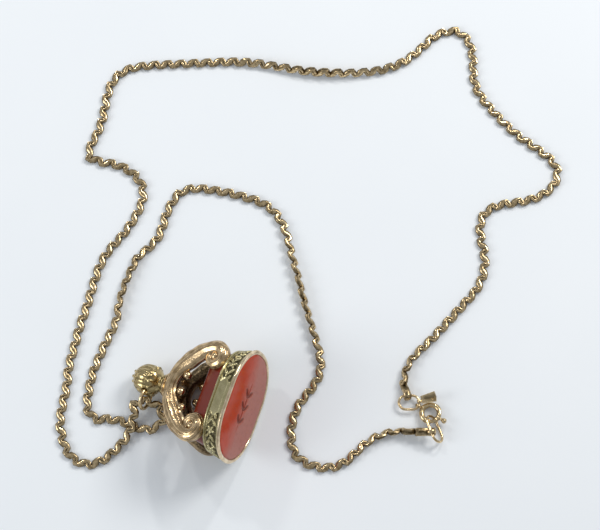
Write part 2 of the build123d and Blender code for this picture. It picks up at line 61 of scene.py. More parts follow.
# The chain's points, as the part's source has them: x, y, roll about its length, lift. They were picked
# in pixels, turned into millimetres by a camera's formula, and some were then moved or added.
CHAIN_ROUTE = (
    (
        (22.1, -36.6, 76, 0), (22.5, -32.8, 56, 0), (24.6, -29.2, 34, 0),
        (28.8, -25.1, 14, 0.06), (33.0, -20.6, 0, 0), (36.9, -16.3, 0, 0), (40.7, -11.9, 0, 0),
        (42.5, -7.6, 0, 0), (42.8, -3.2, 0, 0), (42.0, 1.2, 0, 0), (42.0, 5.2, 0, 0),
        (43.7, 8.2, 0, 0), (47.0, 9.8, 0, 0), (52.1, 10.6, 0, 0), (56.7, 11.9, 0, 0),
        (60.4, 14.5, 0, 0), (61.9, 18.2, 0, 0), (60.4, 21.6, 0, 0), (56.6, 24.8, 0, 0),
        (52.6, 27.8, 0, 0), (48.9, 31.3, 0, 0), (45.7, 35.0, 0, 0), (42.7, 39.1, 0, 0),
        (41.3, 43.1, 0, 0), (41.2, 47.8, 0, 0), (40.7, 52.1, 0, 0), (38.8, 55.7, 0, 0),
        (35.7, 56.5, 0, 0), (31.8, 55.4, 0, 0), (28.9, 52.7, 0, 0), (25.8, 49.9, 0, 0),
        (22.4, 47.5, 12, 0.04), (17.2, 45.6, 32, 0), (10.8, 44.8, 56, 0), (4.4, 44.8, 72, 0),
        (-2.1, 45.3, 72, 0), (-8.5, 46.4, 54, 0), (-14.9, 47.5, 32, 0.04), (-21.4, 48.0, 10, 0.05),
        (-27.8, 47.8, 0, 0), (-34.2, 47.5, 0, 0), (-40.6, 47.2, 0, 0), (-46.5, 46.4, 0, 0),
        (-50.3, 44.2, 0, 0), (-52.3, 40.4, 0, 0), (-53.2, 35.6, 0, 0), (-54.1, 31.0, 0, 0),
        (-55.7, 27.0, 0, 0), (-57.4, 23.4, 0, 0), (-54.3, 21.3, 0, 0), (-49.5, 20.3, 0, 0),
        (-45.4, 17.9, 0, 0), (-43.0, 14.2, 0, 0), (-43.2, 10.3, 0, 0), (-45.1, 6.1, 0, 0),
        (-48.0, 1.7, 0, 0), (-51.1, -1.9, 0, 0), (-53.3, -6.0, 0, 0), (-54.9, -11.2, 0, 0),
        (-56.2, -16.3, 0, 0), (-57.8, -21.3, 0, 0), (-58.9, -26.1, 0, 0), (-60.2, -31.4, 0, 0),
        (-60.6, -36.6, 0, 0), (-61.6, -41.8, 0, 0), (-61.9, -46.0, 0, 0), (-60.9, -50.2, 0, 0),
        (-59.2, -53.6, 0, 0), (-55.8, -55.6, 0, 0), (-52.1, -55.1, 0, 0.04), (-48.9, -52.8, 0, 0.3),
        (-46.3, -50.2, 0, 0.8), (-44.6, -47.5, 0, 1.3),
    ),
    (
        (-44.6, -47.5, 0, 1.3), (-43.8, -44.3, 0, 1.9), (-43.5, -41.0, 0, 2.5), (-40.2, -40.6, 0, 2.6),
        (-37.3, -42.3, 0, 2.1), (-37.1, -45.7, 0, 1.2), (-40.2, -47.3, 0, 0.45), (-43.5, -46.5, 0, 0.1),
        (-46.7, -45.2, 0, 0),
    ),
    (
        (-46.7, -45.2, 0, 0), (-49.5, -44.6, 0, 0), (-52.7, -44.5, 0, 0), (-55.2, -44.5, 0, 0),
        (-55.4, -41.5, 0, 0), (-55.2, -37.9, 0, 0), (-54.2, -32.9, 0, 0), (-52.6, -28.7, 0, 0),
        (-50.8, -24.4, 0, 0), (-48.9, -20.6, 20, 0), (-48.3, -16.3, 38, 0), (-47.2, -11.7, 45, 0),
        (-45.5, -7.3, 32, 0.07), (-43.6, -3.5, 15, 0.15), (-40.9, -1.1, 0, 0.06), (-38.5, 2.0, 0, 0),
        (-37.3, 6.4, 0, 0), (-35.8, 10.0, 0, 0), (-33.4, 13.2, 0, 0), (-29.6, 14.2, 0, 0),
        (-25.6, 13.7, 0, 0), (-21.0, 12.9, 0, 0), (-16.5, 11.6, 0, 0), (-12.2, 10.0, 0, 0),
        (-8.6, 6.4, 8, 0), (-6.6, 1.7, 24, 0), (-5.4, -3.5, 42, 0), (-3.8, -9.1, 58, 0),
        (-2.6, -14.2, 65, 0), (-1.1, -19.3, 58, 0), (0.4, -24.4, 42, 0), (1.6, -28.9, 24, 0.07),
        (1.6, -33.2, 8, 0.08), (-0.4, -36.9, 0, 0), (-3.3, -40.6, 0, 0), (-5.1, -44.8, 0, 0),
        (-5.5, -49.2, 0, 0), (-4.6, -53.1, 0, 0), (-1.4, -55.6, 0, 0), (3.0, -56.5, 0, 0),
        (6.8, -55.6, 6, 0), (10.0, -53.0, 16, 0), (13.0, -50.3, 28, 0), (16.4, -48.5, 40, 0),
        (19.8, -47.7, 53, 0), (22.6, -47.7, 66, 0.1), (25.2, -48.0, 80, 0.7),
    ),
)


# Arithmetic on whole arrays
def unit(vectors: Array) -> Array:
    """Vectors scaled to length one along the last axis."""
    return vectors / np.linalg.norm(vectors, axis=-1, keepdims=True)


def smooth_step(values: Array, low: float, high: float) -> Array:
    """A rise from 0 at low to 1 at high, 3t^2 - 2t^3 between them."""
    share = np.clip((values - low) / (high - low), 0.0, 1.0)
    return share * share * (3.0 - 2.0 * share)


def polar(radius: float | Array, angle: float | Array) -> Array:
    """Points at a radius and an angle in degrees, as x and y on the last axis."""
    turned = np.radians(angle)
    return np.stack([radius * np.cos(turned), radius * np.sin(turned)], axis=-1)


def ring_angles(count: int) -> Array:
    """Angles in degrees that go once round in equal steps."""
    return np.arange(count) * 360.0 / count


def raised(flat: Array, height: float | Array) -> Array:
    """Points x and y with a height as their z, one for all or one for each."""
    tall = np.broadcast_to(height, flat.shape[:-1])
    return np.concatenate([flat, tall[..., None]], axis=-1)


def run_along(points: Array) -> Array:
    """How far along a run of straight pieces each of its points lies."""
    return np.concatenate([[0.0], np.cumsum(np.linalg.norm(np.diff(points, axis=0), axis=1))])


def turned_into(x: Array, y: Array, angle: float) -> tuple[Array, Array]:
    """How far places lie along and across a direction at an angle in degrees."""
    turn = math.radians(angle)
    return x * math.cos(turn) + y * math.sin(turn), y * math.cos(turn) - x * math.sin(turn)


@dataclass(frozen=True)
class Axes:
    """A right-handed set of axes in the frame, in millimetres."""

    origin: Array
    x: Array
    y: Array
    z: Array

    def place(self, local: Array) -> Array:
        """Local points, x, y and z on the last axis, as points of the frame."""
        return self.origin + local @ np.stack([self.x, self.y, self.z])


def axes_about(origin: Array, z: Array, x_hint: Array) -> Axes:
    """Axes with a given z and the x nearest to a hint.

    Args:
        origin: Where the axes stand, in millimetres.
        z: The direction of z.
        x_hint: A direction that x comes nearest to.

    Returns:
        The axes.
    """
    z = unit(z)
    x = unit(x_hint - z * (x_hint @ z))
    return Axes(origin, x, np.cross(z, x), z)


# Surfaces: a grid of points, or several joined into one mesh
@dataclass
class Surface:
    """One mesh in the making.

    points holds x, y and z in millimetres, quads and fans the corners of its faces, and the last field how
    much each
    point is darkened, from 0 to 1: patina in the gold's hollows, and painted shade in recesses and on shaded
    sides.
    """

    points: Array
    quads: Array
    fans: Array
    shade_and_patina: Array


def grid_surface(
    points: Array,
    wrap_rows: bool = False,
    close_first: bool = False,
    close_last: bool = False,
    shade_and_patina: Array | None = None,
) -> Surface:
    """A surface through a grid of points, whose last column joins the first.

    Faces join each point to its neighbours in the next row and column. Rows that run along a tube, and
    columns that run round it with x across y pointing along the tube, give faces that point outwards.

    Args:
        points: Rows by columns by three.
        wrap_rows: Whether the last row joins the first.
        close_first: Whether the first row is closed by a fan about its middle.
        close_last: Whether the last row is closed the same way.
        shade_and_patina: Rows by columns, how much each point is darkened, for patina and painted shade.

    Returns:
        The surface.
    """
    rows, columns = points.shape[:2]
    row, column = np.meshgrid(
        np.arange(rows if wrap_rows else rows - 1),
        np.arange(columns),
        indexing="ij",
    )
    after_row, after_column = (row + 1) % rows, (column + 1) % columns
    quads = np.stack(
        [
            row * columns + column,
            row * columns + after_column,
            after_row * columns + after_column,
            after_row * columns + column,
        ],
        axis=-1,
    ).reshape(-1, 4)
    flat = points.reshape(-1, 3)
    depth = np.zeros(len(flat)) if shade_and_patina is None else np.broadcast_to(shade_and_patina, points.shape[:2]).reshape(-1)
    fans = np.empty((0, 3), int)
    here = np.arange(columns)
    after = (here + 1) % columns
    for wanted, first, turned in ((close_first, 0, True), (close_last, (rows - 1) * columns, False)):
        if wanted:
            middle = np.full(columns, len(flat))
            flat = np.vstack([flat, flat[first : first + columns].mean(axis=0)])
            depth = np.append(depth, depth[first])
            ends = (after, here) if turned else (here, after)
            fans = np.vstack([fans, np.stack([middle, first + ends[0], first + ends[1]], axis=-1)])
    return Surface(flat, quads, fans, depth)


def joined(surfaces: Sequence[Surface]) -> Surface:
    """Several surfaces as one, with their corners renumbered."""
    starts = np.cumsum([0] + [len(surface.points) for surface in surfaces[:-1]])
    return Surface(
        np.vstack([surface.points for surface in surfaces]),
        np.vstack([surface.quads + start for surface, start in zip(surfaces, starts)]),
        np.vstack([surface.fans + start for surface, start in zip(surfaces, starts)]),
        np.concatenate([surface.shade_and_patina for surface in surfaces]),
    )


def sweep(
    path: Array, side: Array, section: Array, closed: bool = False, shade_and_patina: Array | None = None
) -> Surface:
    """A section carried along a path.

    A point is path + section x along the side + section y along tangent x side, where the side is made
    square to the tangent at each station.

    Args:
        path: Stations by three.
        side: The direction of the section's x, one for all stations or one for each.
        section: Stations by columns by two, or columns by two for a section that stays the same.
        closed: Whether the path returns to its start.
        shade_and_patina: How much each point is darkened, for patina and painted shade, if not 0.

    Returns:
        The swept surface, with both ends closed unless the path is.
    """
    if closed:
        tangent = unit(np.roll(path, -1, axis=0) - np.roll(path, 1, axis=0))
    else:
        tangent = unit(np.gradient(path, axis=0))
    side = np.broadcast_to(side, path.shape)
    side = unit(side - tangent * np.sum(side * tangent, axis=-1, keepdims=True))
    across = np.cross(tangent, side)
    section = np.broadcast_to(section, (len(path),) + section.shape[-2:])
    points = path[:, None] + section[..., :1] * side[:, None] + section[..., 1:] * across[:, None]
    ends = not closed
    return grid_surface(points, wrap_rows=closed, close_first=ends, close_last=ends, shade_and_patina=shade_and_patina)


def round_section(radius: float | Array, columns: int = 16) -> Array:
    """A circle of points, or one circle for each radius in an array."""
    ring = polar(1.0, ring_angles(columns))
    return ring * np.asarray(radius, float)[..., None, None] if np.ndim(radius) else ring * radius


def lathe(axes: Axes, profile: Array, columns: int = 64, swell: Array | None = None) -> Surface:
    """A profile turned about z.

    Args:
        axes: Where it stands.
        profile: Rows of radius and height, from its low end to its high end along the outside.
        columns: How many points go round.
        swell: Rows by columns, a length added to the radius.

    Returns:
        The turned surface, closed at both ends.
    """
    angle = ring_angles(columns)
    radius = profile[:, :1] + (0.0 if swell is None else swell) + np.zeros((1, columns))
    flat = polar(radius, angle)
    # Darker where the swell sinks in: patina and painted shade in the recesses.
    shade_and_patina = None if swell is None else smooth_step(-swell, 0.0, max(float(-swell.min()), 0.01))
    points = axes.place(raised(flat, profile[:, 1:]))
    return grid_surface(points, close_first=True, close_last=True, shade_and_patina=shade_and_patina)


def ball(centre: Array, radius: float, rows: int = 10, columns: int = 16) -> Surface:
    """A sphere of latitude and longitude points about a centre."""
    latitude = np.linspace(-86.0, 86.0, rows)
    axes = Axes(centre, *np.eye(3))
    return lathe(axes, polar(radius, latitude), columns)


def rounded_profile(corners: Sequence[Sequence[float]], rows: int) -> Array:
    """Rows evenly spaced along a run of corners, with the corners softened by a short running mean."""
    corners = np.array(corners, float)
    run = run_along(corners)
    even = np.linspace(0.0, run[-1], rows)
    line = np.stack([np.interp(even, run, column) for column in corners.T], axis=-1)
    soft = line.copy()
    soft[1:-1] = (line[:-2] + 2.0 * line[1:-1] + line[2:]) / 4.0
    return soft


# Finishes
class Slot(Enum):
    """The record's material slots."""

    CARNELIAN = "carnelian"
    CHASED_GOLD = "chased_gold"
    CHAIN_GOLD = "chain_gold"
    RING_GOLD = "ring_gold"
    CLASP_GOLD = "clasp_gold"


class NodeBoard:
    """A material's nodes, with short calls for the ones that the finishes use."""

    def __init__(self, name: str) -> None:
        """Starts a material with its principled shader and object coordinates."""
        self.material = bpy.data.materials.new(name)
        self.material.use_nodes = True
        self.tree = self.material.node_tree
        self.shader = self.tree.nodes["Principled BSDF"]
        self.place = self.tree.nodes.new("ShaderNodeTexCoord").outputs["Object"]

    def link(self, source: Socket, target: Socket) -> None:
        """Joins an output to an input."""
        self.tree.links.new(source, target)

    def noise(self, size: float, detail: float = 4.0, roughness: float = 0.55) -> Socket:
        """Noise whose features are about one size across, in millimetres."""
        node = self.tree.nodes.new("ShaderNodeTexNoise")
        node.inputs["Scale"].default_value = 1.0 / (size * MM)
        node.inputs["Detail"].default_value = detail
        node.inputs["Roughness"].default_value = roughness
        self.link(self.place, node.inputs["Vector"])
        return node.outputs["Fac"]

    def along(self, direction: Sequence[float]) -> Socket:
        """How far a place lies along a direction, in metres."""
        node = self.tree.nodes.new("ShaderNodeVectorMath")
        node.operation = "DOT_PRODUCT"
        node.inputs[1].default_value = tuple(float(part) for part in direction)
        self.link(self.place, node.inputs[0])
        return node.outputs["Value"]

    def attribute(self, name: str) -> Socket:
        """A number that the mesh holds at each point."""
        node = self.tree.nodes.new("ShaderNodeAttribute")
        node.attribute_name = name
        return node.outputs["Fac"]

    def spread(self, value: Socket, low: float, high: float, first: float, last: float) -> Socket:
        """A value between low and high spread, with its ends held, between first and last."""
        node = self.tree.nodes.new("ShaderNodeMapRange")
        for socket, number in zip(("From Min", "From Max", "To Min", "To Max"), (low, high, first, last)):
            node.inputs[socket].default_value = number
        self.link(value, node.inputs["Value"])
        return node.outputs["Result"]

    def blend(self, share: Socket, first: Colour | Socket, second: Colour | Socket) -> Socket:
        """Two colours mixed by a share."""
        node = self.tree.nodes.new("ShaderNodeMix")
        node.data_type = "RGBA"
        self.link(share, node.inputs["Factor"])
        colours = [socket for socket in node.inputs if socket.type == "RGBA"]
        for socket, colour in zip(colours, (first, second)):
            if isinstance(colour, tuple):
                socket.default_value = (*colour, 1.0)
            else:
                self.link(colour, socket)
        return next(socket for socket in node.outputs if socket.type == "RGBA")

    def sum_of(self, first: Socket, second: Socket, operation: str = "ADD") -> Socket:
        """Two numbers put together by a named operation."""
        node = self.tree.nodes.new("ShaderNodeMath")
        node.operation = operation
        self.link(first, node.inputs[0])
        self.link(second, node.inputs[1])
        return node.outputs["Value"]

    def relief(self, height: Socket, depth: float) -> None:
        """Bumps the surface by a height map of a depth in millimetres."""
        node = self.tree.nodes.new("ShaderNodeBump")
        node.inputs["Strength"].default_value = 1.0
        node.inputs["Distance"].default_value = depth * MM
        self.link(height, node.inputs["Height"])
        self.link(node.outputs["Normal"], self.shader.inputs["Normal"])


@dataclass(frozen=True)
class GoldFinish:
    """Old gold: bright where it is rubbed and dull between, and darkened by each point's mark: patina in its
    hollows, and painted shade in recesses, on shaded sides and between parts.

    cloud is the size of the dull patches, grain that of the fine texture, and grain_depth how deep the
    texture is, all in millimetres.
    """

    name: str
    slot: Slot
    bright: Colour
    dull: Colour
    shade_and_patina_colour: Colour
    smooth: float
    rough: float
    cloud: float
    grain: float
    grain_depth: float

    def material(self) -> bpy.types.Material:
        """Builds the finish as a metallic material."""
        board = NodeBoard(self.name)
        cloud = board.noise(self.cloud)
        grain = board.noise(self.grain, detail=2.0)
        shade_and_patina = board.attribute("shade_and_patina")
        rubbed = board.blend(board.spread(cloud, 0.38, 0.66, 0.0, 1.0), self.bright, self.dull)
        # Painted shade and patina: each point's mark darkens the gold towards its deep colour, broken up by
        # the grain.
        shade_and_patina_grain = board.sum_of(shade_and_patina, board.spread(grain, 0.3, 0.75, 0.7, 1.2), "MULTIPLY")
        colour = board.blend(board.spread(shade_and_patina_grain, 0.1, 0.95, 0.0, 1.0), rubbed, self.shade_and_patina_colour)
        board.link(colour, board.shader.inputs["Base Color"])
        polish = board.spread(cloud, 0.35, 0.7, self.smooth, self.rough)
        worn = board.sum_of(polish, board.spread(shade_and_patina, 0.0, 1.0, 0.0, 0.25))
        board.link(worn, board.shader.inputs["Roughness"])
        board.shader.inputs["Metallic"].default_value = 1.0
        board.relief(grain, self.grain_depth)
        return board.material


@dataclass(frozen=True)
class CarnelianFinish:
    """Polished carnelian: orange-red higher up and, lower down, a dusky grey-pink that is a painted
    reflection of the pale table, the two meeting in drifting bands.

    low and high are the heights, in millimetres along up, between which the painted reflection turns
    orange-red.
    """

    name: str = "carnelian"
    slot: Slot = Slot.CARNELIAN
    glow: Colour = (0.46, 0.04, 0.006)
    reflection_pink: Colour = (0.4, 0.13, 0.095)
    deep: Colour = (0.09, 0.014, 0.009)
    up: Colour = (-0.275, 0.094, 0.957)
    low: float = 9.0
    high: float = 17.0
    band: float = 6.0
    fleck: float = 0.9
    depth: float = 1.0

    def material(self) -> bpy.types.Material:
        """Builds the stone's material."""
        board = NodeBoard(self.name)
        band = board.noise(self.band, detail=3.0)
        fleck = board.noise(self.fleck, detail=5.0)
        height = board.spread(board.along(self.up), self.low * MM, self.high * MM, 0.0, 1.0)
        drift = board.sum_of(height, board.spread(band, 0.3, 0.7, -0.25, 0.25))
        # Painted reflection: grey-pink low down, where the polished stone would mirror the pale table.
        body = board.blend(board.spread(drift, 0.1, 0.9, 0.0, 1.0), self.reflection_pink, self.glow)
        # Darker in random flecks, the stone's own tone, and by each point's mark, which on the stone is
        # painted shade only.
        shade = board.spread(fleck, 0.5, 0.85, 0.0, 0.3)
        fleck_and_shade = board.sum_of(shade, board.attribute("shade_and_patina"), "MAXIMUM")
        board.link(board.blend(fleck_and_shade, body, self.deep), board.shader.inputs["Base Color"])
        board.link(board.spread(fleck, 0.3, 0.7, 0.1, 0.2), board.shader.inputs["Roughness"])
        board.shader.inputs["IOR"].default_value = 1.27
        board.shader.inputs["Subsurface Weight"].default_value = 0.1
        board.shader.inputs["Subsurface Radius"].default_value = (1.0, 0.18, 0.05)
        board.shader.inputs["Subsurface Scale"].default_value = self.depth * MM
        board.relief(fleck, 0.004)
        return board.material


CHASED = GoldFinish(
    name="chased_gold",
    slot=Slot.CHASED_GOLD,
    bright=(0.6, 0.53, 0.3),
    dull=(0.36, 0.32, 0.17),
    shade_and_patina_colour=(0.035, 0.028, 0.014),
    smooth=0.2,
    rough=0.38,
    cloud=1.6,
    grain=0.3,
    grain_depth=0.02,
)
SCROLL = GoldFinish(
    name="scroll_gold",
    slot=Slot.CHASED_GOLD,
    bright=(0.76, 0.56, 0.33),
    dull=(0.34, 0.235, 0.12),
    shade_and_patina_colour=(0.02, 0.013, 0.006),
    smooth=0.13,
    rough=0.28,
    cloud=1.5,
    grain=0.35,
    grain_depth=0.025,
)
KNOB = GoldFinish(
    name="knob_gold",
    slot=Slot.CHASED_GOLD,
    bright=(0.6, 0.47, 0.24),
    dull=(0.22, 0.17, 0.075),
    shade_and_patina_colour=(0.015, 0.01, 0.005),
    smooth=0.12,
    rough=0.34,
    cloud=1.3,
    grain=0.35,
    grain_depth=0.03,
)
RIM = GoldFinish(
    name="rim_gold",
    slot=Slot.CHASED_GOLD,
    bright=(0.93, 0.76, 0.53),
    dull=(0.62, 0.48, 0.3),
    shade_and_patina_colour=(0.03, 0.02, 0.01),
    smooth=0.1,
    rough=0.24,
    cloud=1.8,
    grain=0.2,
    grain_depth=0.008,
)
CHAIN = GoldFinish(
    name="chain_gold",
    slot=Slot.CHAIN_GOLD,
    bright=(0.78, 0.6, 0.35),
    dull=(0.3, 0.215, 0.105),
    shade_and_patina_colour=(0.014, 0.009, 0.004),
    smooth=0.12,
    rough=0.27,
    cloud=0.8,
    grain=0.3,
    grain_depth=0.012,
)
WIRE = GoldFinish(
    name="ring_gold",
    slot=Slot.RING_GOLD,
    bright=(0.86, 0.67, 0.4),
    dull=(0.5, 0.37, 0.2),
    shade_and_patina_colour=(0.04, 0.028, 0.013),
    smooth=0.14,
    rough=0.3,
    cloud=1.5,
    grain=0.2,
    grain_depth=0.006,
)
CLASP = GoldFinish(
    name="clasp_gold",
    slot=Slot.CLASP_GOLD,
    bright=(0.78, 0.61, 0.36),
    dull=(0.42, 0.32, 0.17),
    shade_and_patina_colour=(0.04, 0.028, 0.013),
    smooth=0.14,
    rough=0.28,
    cloud=1.8,
    grain=0.2,
    grain_depth=0.006,
)
STONE = CarnelianFinish()


class Workshop:
    """Makes finished pieces from surfaces, with one material for each finish."""

    def __init__(self) -> None:
        """Starts with no material made."""
        self.materials: dict[str, bpy.types.Material] = {}

    def piece(
        self,
        name: str,
        surface: Surface,
        finish: GoldFinish | CarnelianFinish,
        body: str = NECKLACE_BODY,
        nodes: Sequence[str] = (),
        sharp: float = 50.0,
    ) -> bpy.types.Object:
        """Makes one object in the frame.

        Args:
            name: The piece's name.
            surface: Its shape, in millimetres.
            finish: What it is made of.
            body: The body that it moves with.
            nodes: The frame's nodes that it stands for.
            sharp: The angle in degrees past which an edge isn't smoothed over.

        Returns:
            The object.
        """
        mesh = bpy.data.meshes.new(name)
        faces = surface.quads.tolist() + surface.fans.tolist()
        mesh.from_pydata((surface.points * MM).tolist(), [], faces)
        # Each point's mark of patina and painted shade, which the materials darken by.
        shade_and_patina = mesh.attributes.new("shade_and_patina", "FLOAT", "POINT")
        shade_and_patina.data.foreach_set("value", surface.shade_and_patina.astype(np.float32))
        mesh.shade_smooth()
        mesh.set_sharp_from_angle(angle=math.radians(sharp))
        if finish.name not in self.materials:
            self.materials[finish.name] = finish.material()
        mesh.materials.append(self.materials[finish.name])
        piece = bpy.data.objects.new(name, mesh)
        bpy.context.scene.collection.objects.link(piece)
        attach(piece, body)
        if nodes:
            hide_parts(*nodes)
        LOG.info("%s: %d points on %s", name, len(surface.points), body)
        return piece


# Seal
@dataclass(frozen=True)
class RoundedOutline:
    """Places round a rectangle with round corners, evenly spaced.

    A point is (shares x (half sizes - corner)) + normal x corner, where the shares run from 1 to -1
    along a straight side and stay fixed round a corner.
    """

    half_length: float
    half_breadth: float
    corner: float
    columns: int

    def places(self) -> tuple[Array, Array, Array]:
        """The corner shares, the normals and the distance along the outline at each column."""
        steps = 24
        signs = np.repeat([[1, 1], [-1, 1], [-1, -1], [1, -1]], steps, axis=0).astype(float)
        quarters = [np.linspace(start, start + 90.0, steps) for start in (0.0, 90.0, 180.0, 270.0)]
        angle = np.concatenate(quarters)
        signs, angle = np.vstack([signs, signs[:1]]), np.append(angle, 360.0)
        inner = np.array([self.half_length - self.corner, self.half_breadth - self.corner])
        points = signs * inner + polar(self.corner, angle)
        run = run_along(points)
        even = np.arange(self.columns) * run[-1] / self.columns
        shares = np.stack([np.interp(even, run, signs[:, k]) for k in (0, 1)], axis=-1)
        return shares, polar(1.0, np.interp(even, run, angle)), even


@dataclass
class SealStone:
    """The stone's block: a table with a sprig cut into it, and tapered sides behind."""

    seal: Axes
    table: tuple[float, float, float] = (12.6, 10.3, 9.7)
    girdle: tuple[float, float, float] = (13.15, 10.85, 10.0)
    waist: tuple[float, float, float] = (11.9, 8.65, 8.2)
    back: tuple[float, float, float] = (10.95, 5.85, 5.0)
    table_station: float = -0.06
    girdle_station: float = -0.5
    waist_station: float = -4.9
    back_station: float = -9.6
    columns: int = 480
    table_rows: int = 84
    stem_length: float = 13.0
    stem_width: float = 0.75
    leaf_length: float = 3.4
    leaf_breadth: float = 1.3
    leaf_angle: float = 50.0
    leaf_reach: float = 1.15
    cut: float = 0.3
    cut_shade: float = 0.75
    wall_shadow: float = 0.8

    def sprig(self, u: Array, v: Array) -> Array:
        """How deep the table is cut at a place: a tapered stem and three pairs of veined leaves.

        Each shape's depth rises smoothly from its edge, where 1 - (x/a)^2 - (y/b)^2 is 0.
        """
        stem = 1.0 - (2.0 * u / self.stem_length) ** 2 - (2.0 * v / self.stem_width) ** 2
        depth = smooth_step(stem, 0.0, 0.6)
        for pair in (-1, 0, 1):
            for side in (-1, 1):
                du, dv = u - pair * self.stem_length / 4.0, v - side * self.leaf_reach
                along, over = turned_into(du, dv, side * self.leaf_angle)
                leaf = 1.0 - (2.0 * along / self.leaf_length) ** 2 - (2.0 * over / self.leaf_breadth) ** 2
                vein = 0.35 * np.exp(-((over / 0.14) ** 2))
                depth = np.maximum(depth, smooth_step(leaf, 0.0, 0.7) * (1.0 - vein))
        return depth

    def build(self, shop: Workshop) -> None:
        """Makes the stone."""
        outline = RoundedOutline(*self.table, self.columns)
        shares, normals, _ = outline.places()
        rim = shares * (np.array(self.table[:2]) - self.table[2]) + normals * self.table[2]
        share = np.linspace(0.012, 0.985, self.table_rows)[:, None, None]
        flat = rim * share
        depth = self.sprig(flat[..., 0], flat[..., 1])
        top = raised(flat, self.table_station - self.cut * depth)
        corners = (
            (*self.table, self.table_station - 0.04),
            (*self.girdle, self.girdle_station),
            (*self.waist, self.waist_station),
            (*self.back, self.back_station + 0.3),
            (self.back[0] - 0.3, self.back[1] - 0.3, self.back[2] - 0.3, self.back_station),
        )
        rows = rounded_profile(corners, 40)
        sides = shares * (rows[:, None, :2] - rows[:, None, 2:3]) + normals * rows[:, None, 2:3]
        wall = raised(sides, rows[:, 3:])
        grid = np.concatenate([top, wall])[::-1]
        # Painted shadow of the scrolls on the stone's sides, deepening behind the girdle, and painted shade
        # in the sprig's cut.
        painted_wall_shadow = self.wall_shadow * smooth_step(-wall[..., 2], 1.0, 5.0)
        shade_and_patina = np.concatenate([self.cut_shade * depth, painted_wall_shadow])[::-1]
        surface = grid_surface(self.seal.place(grid), close_first=True, close_last=True, shade_and_patina=shade_and_patina)
        shop.piece("carnelian", surface, STONE, nodes=("carnelian_stone",), sharp=60.0)


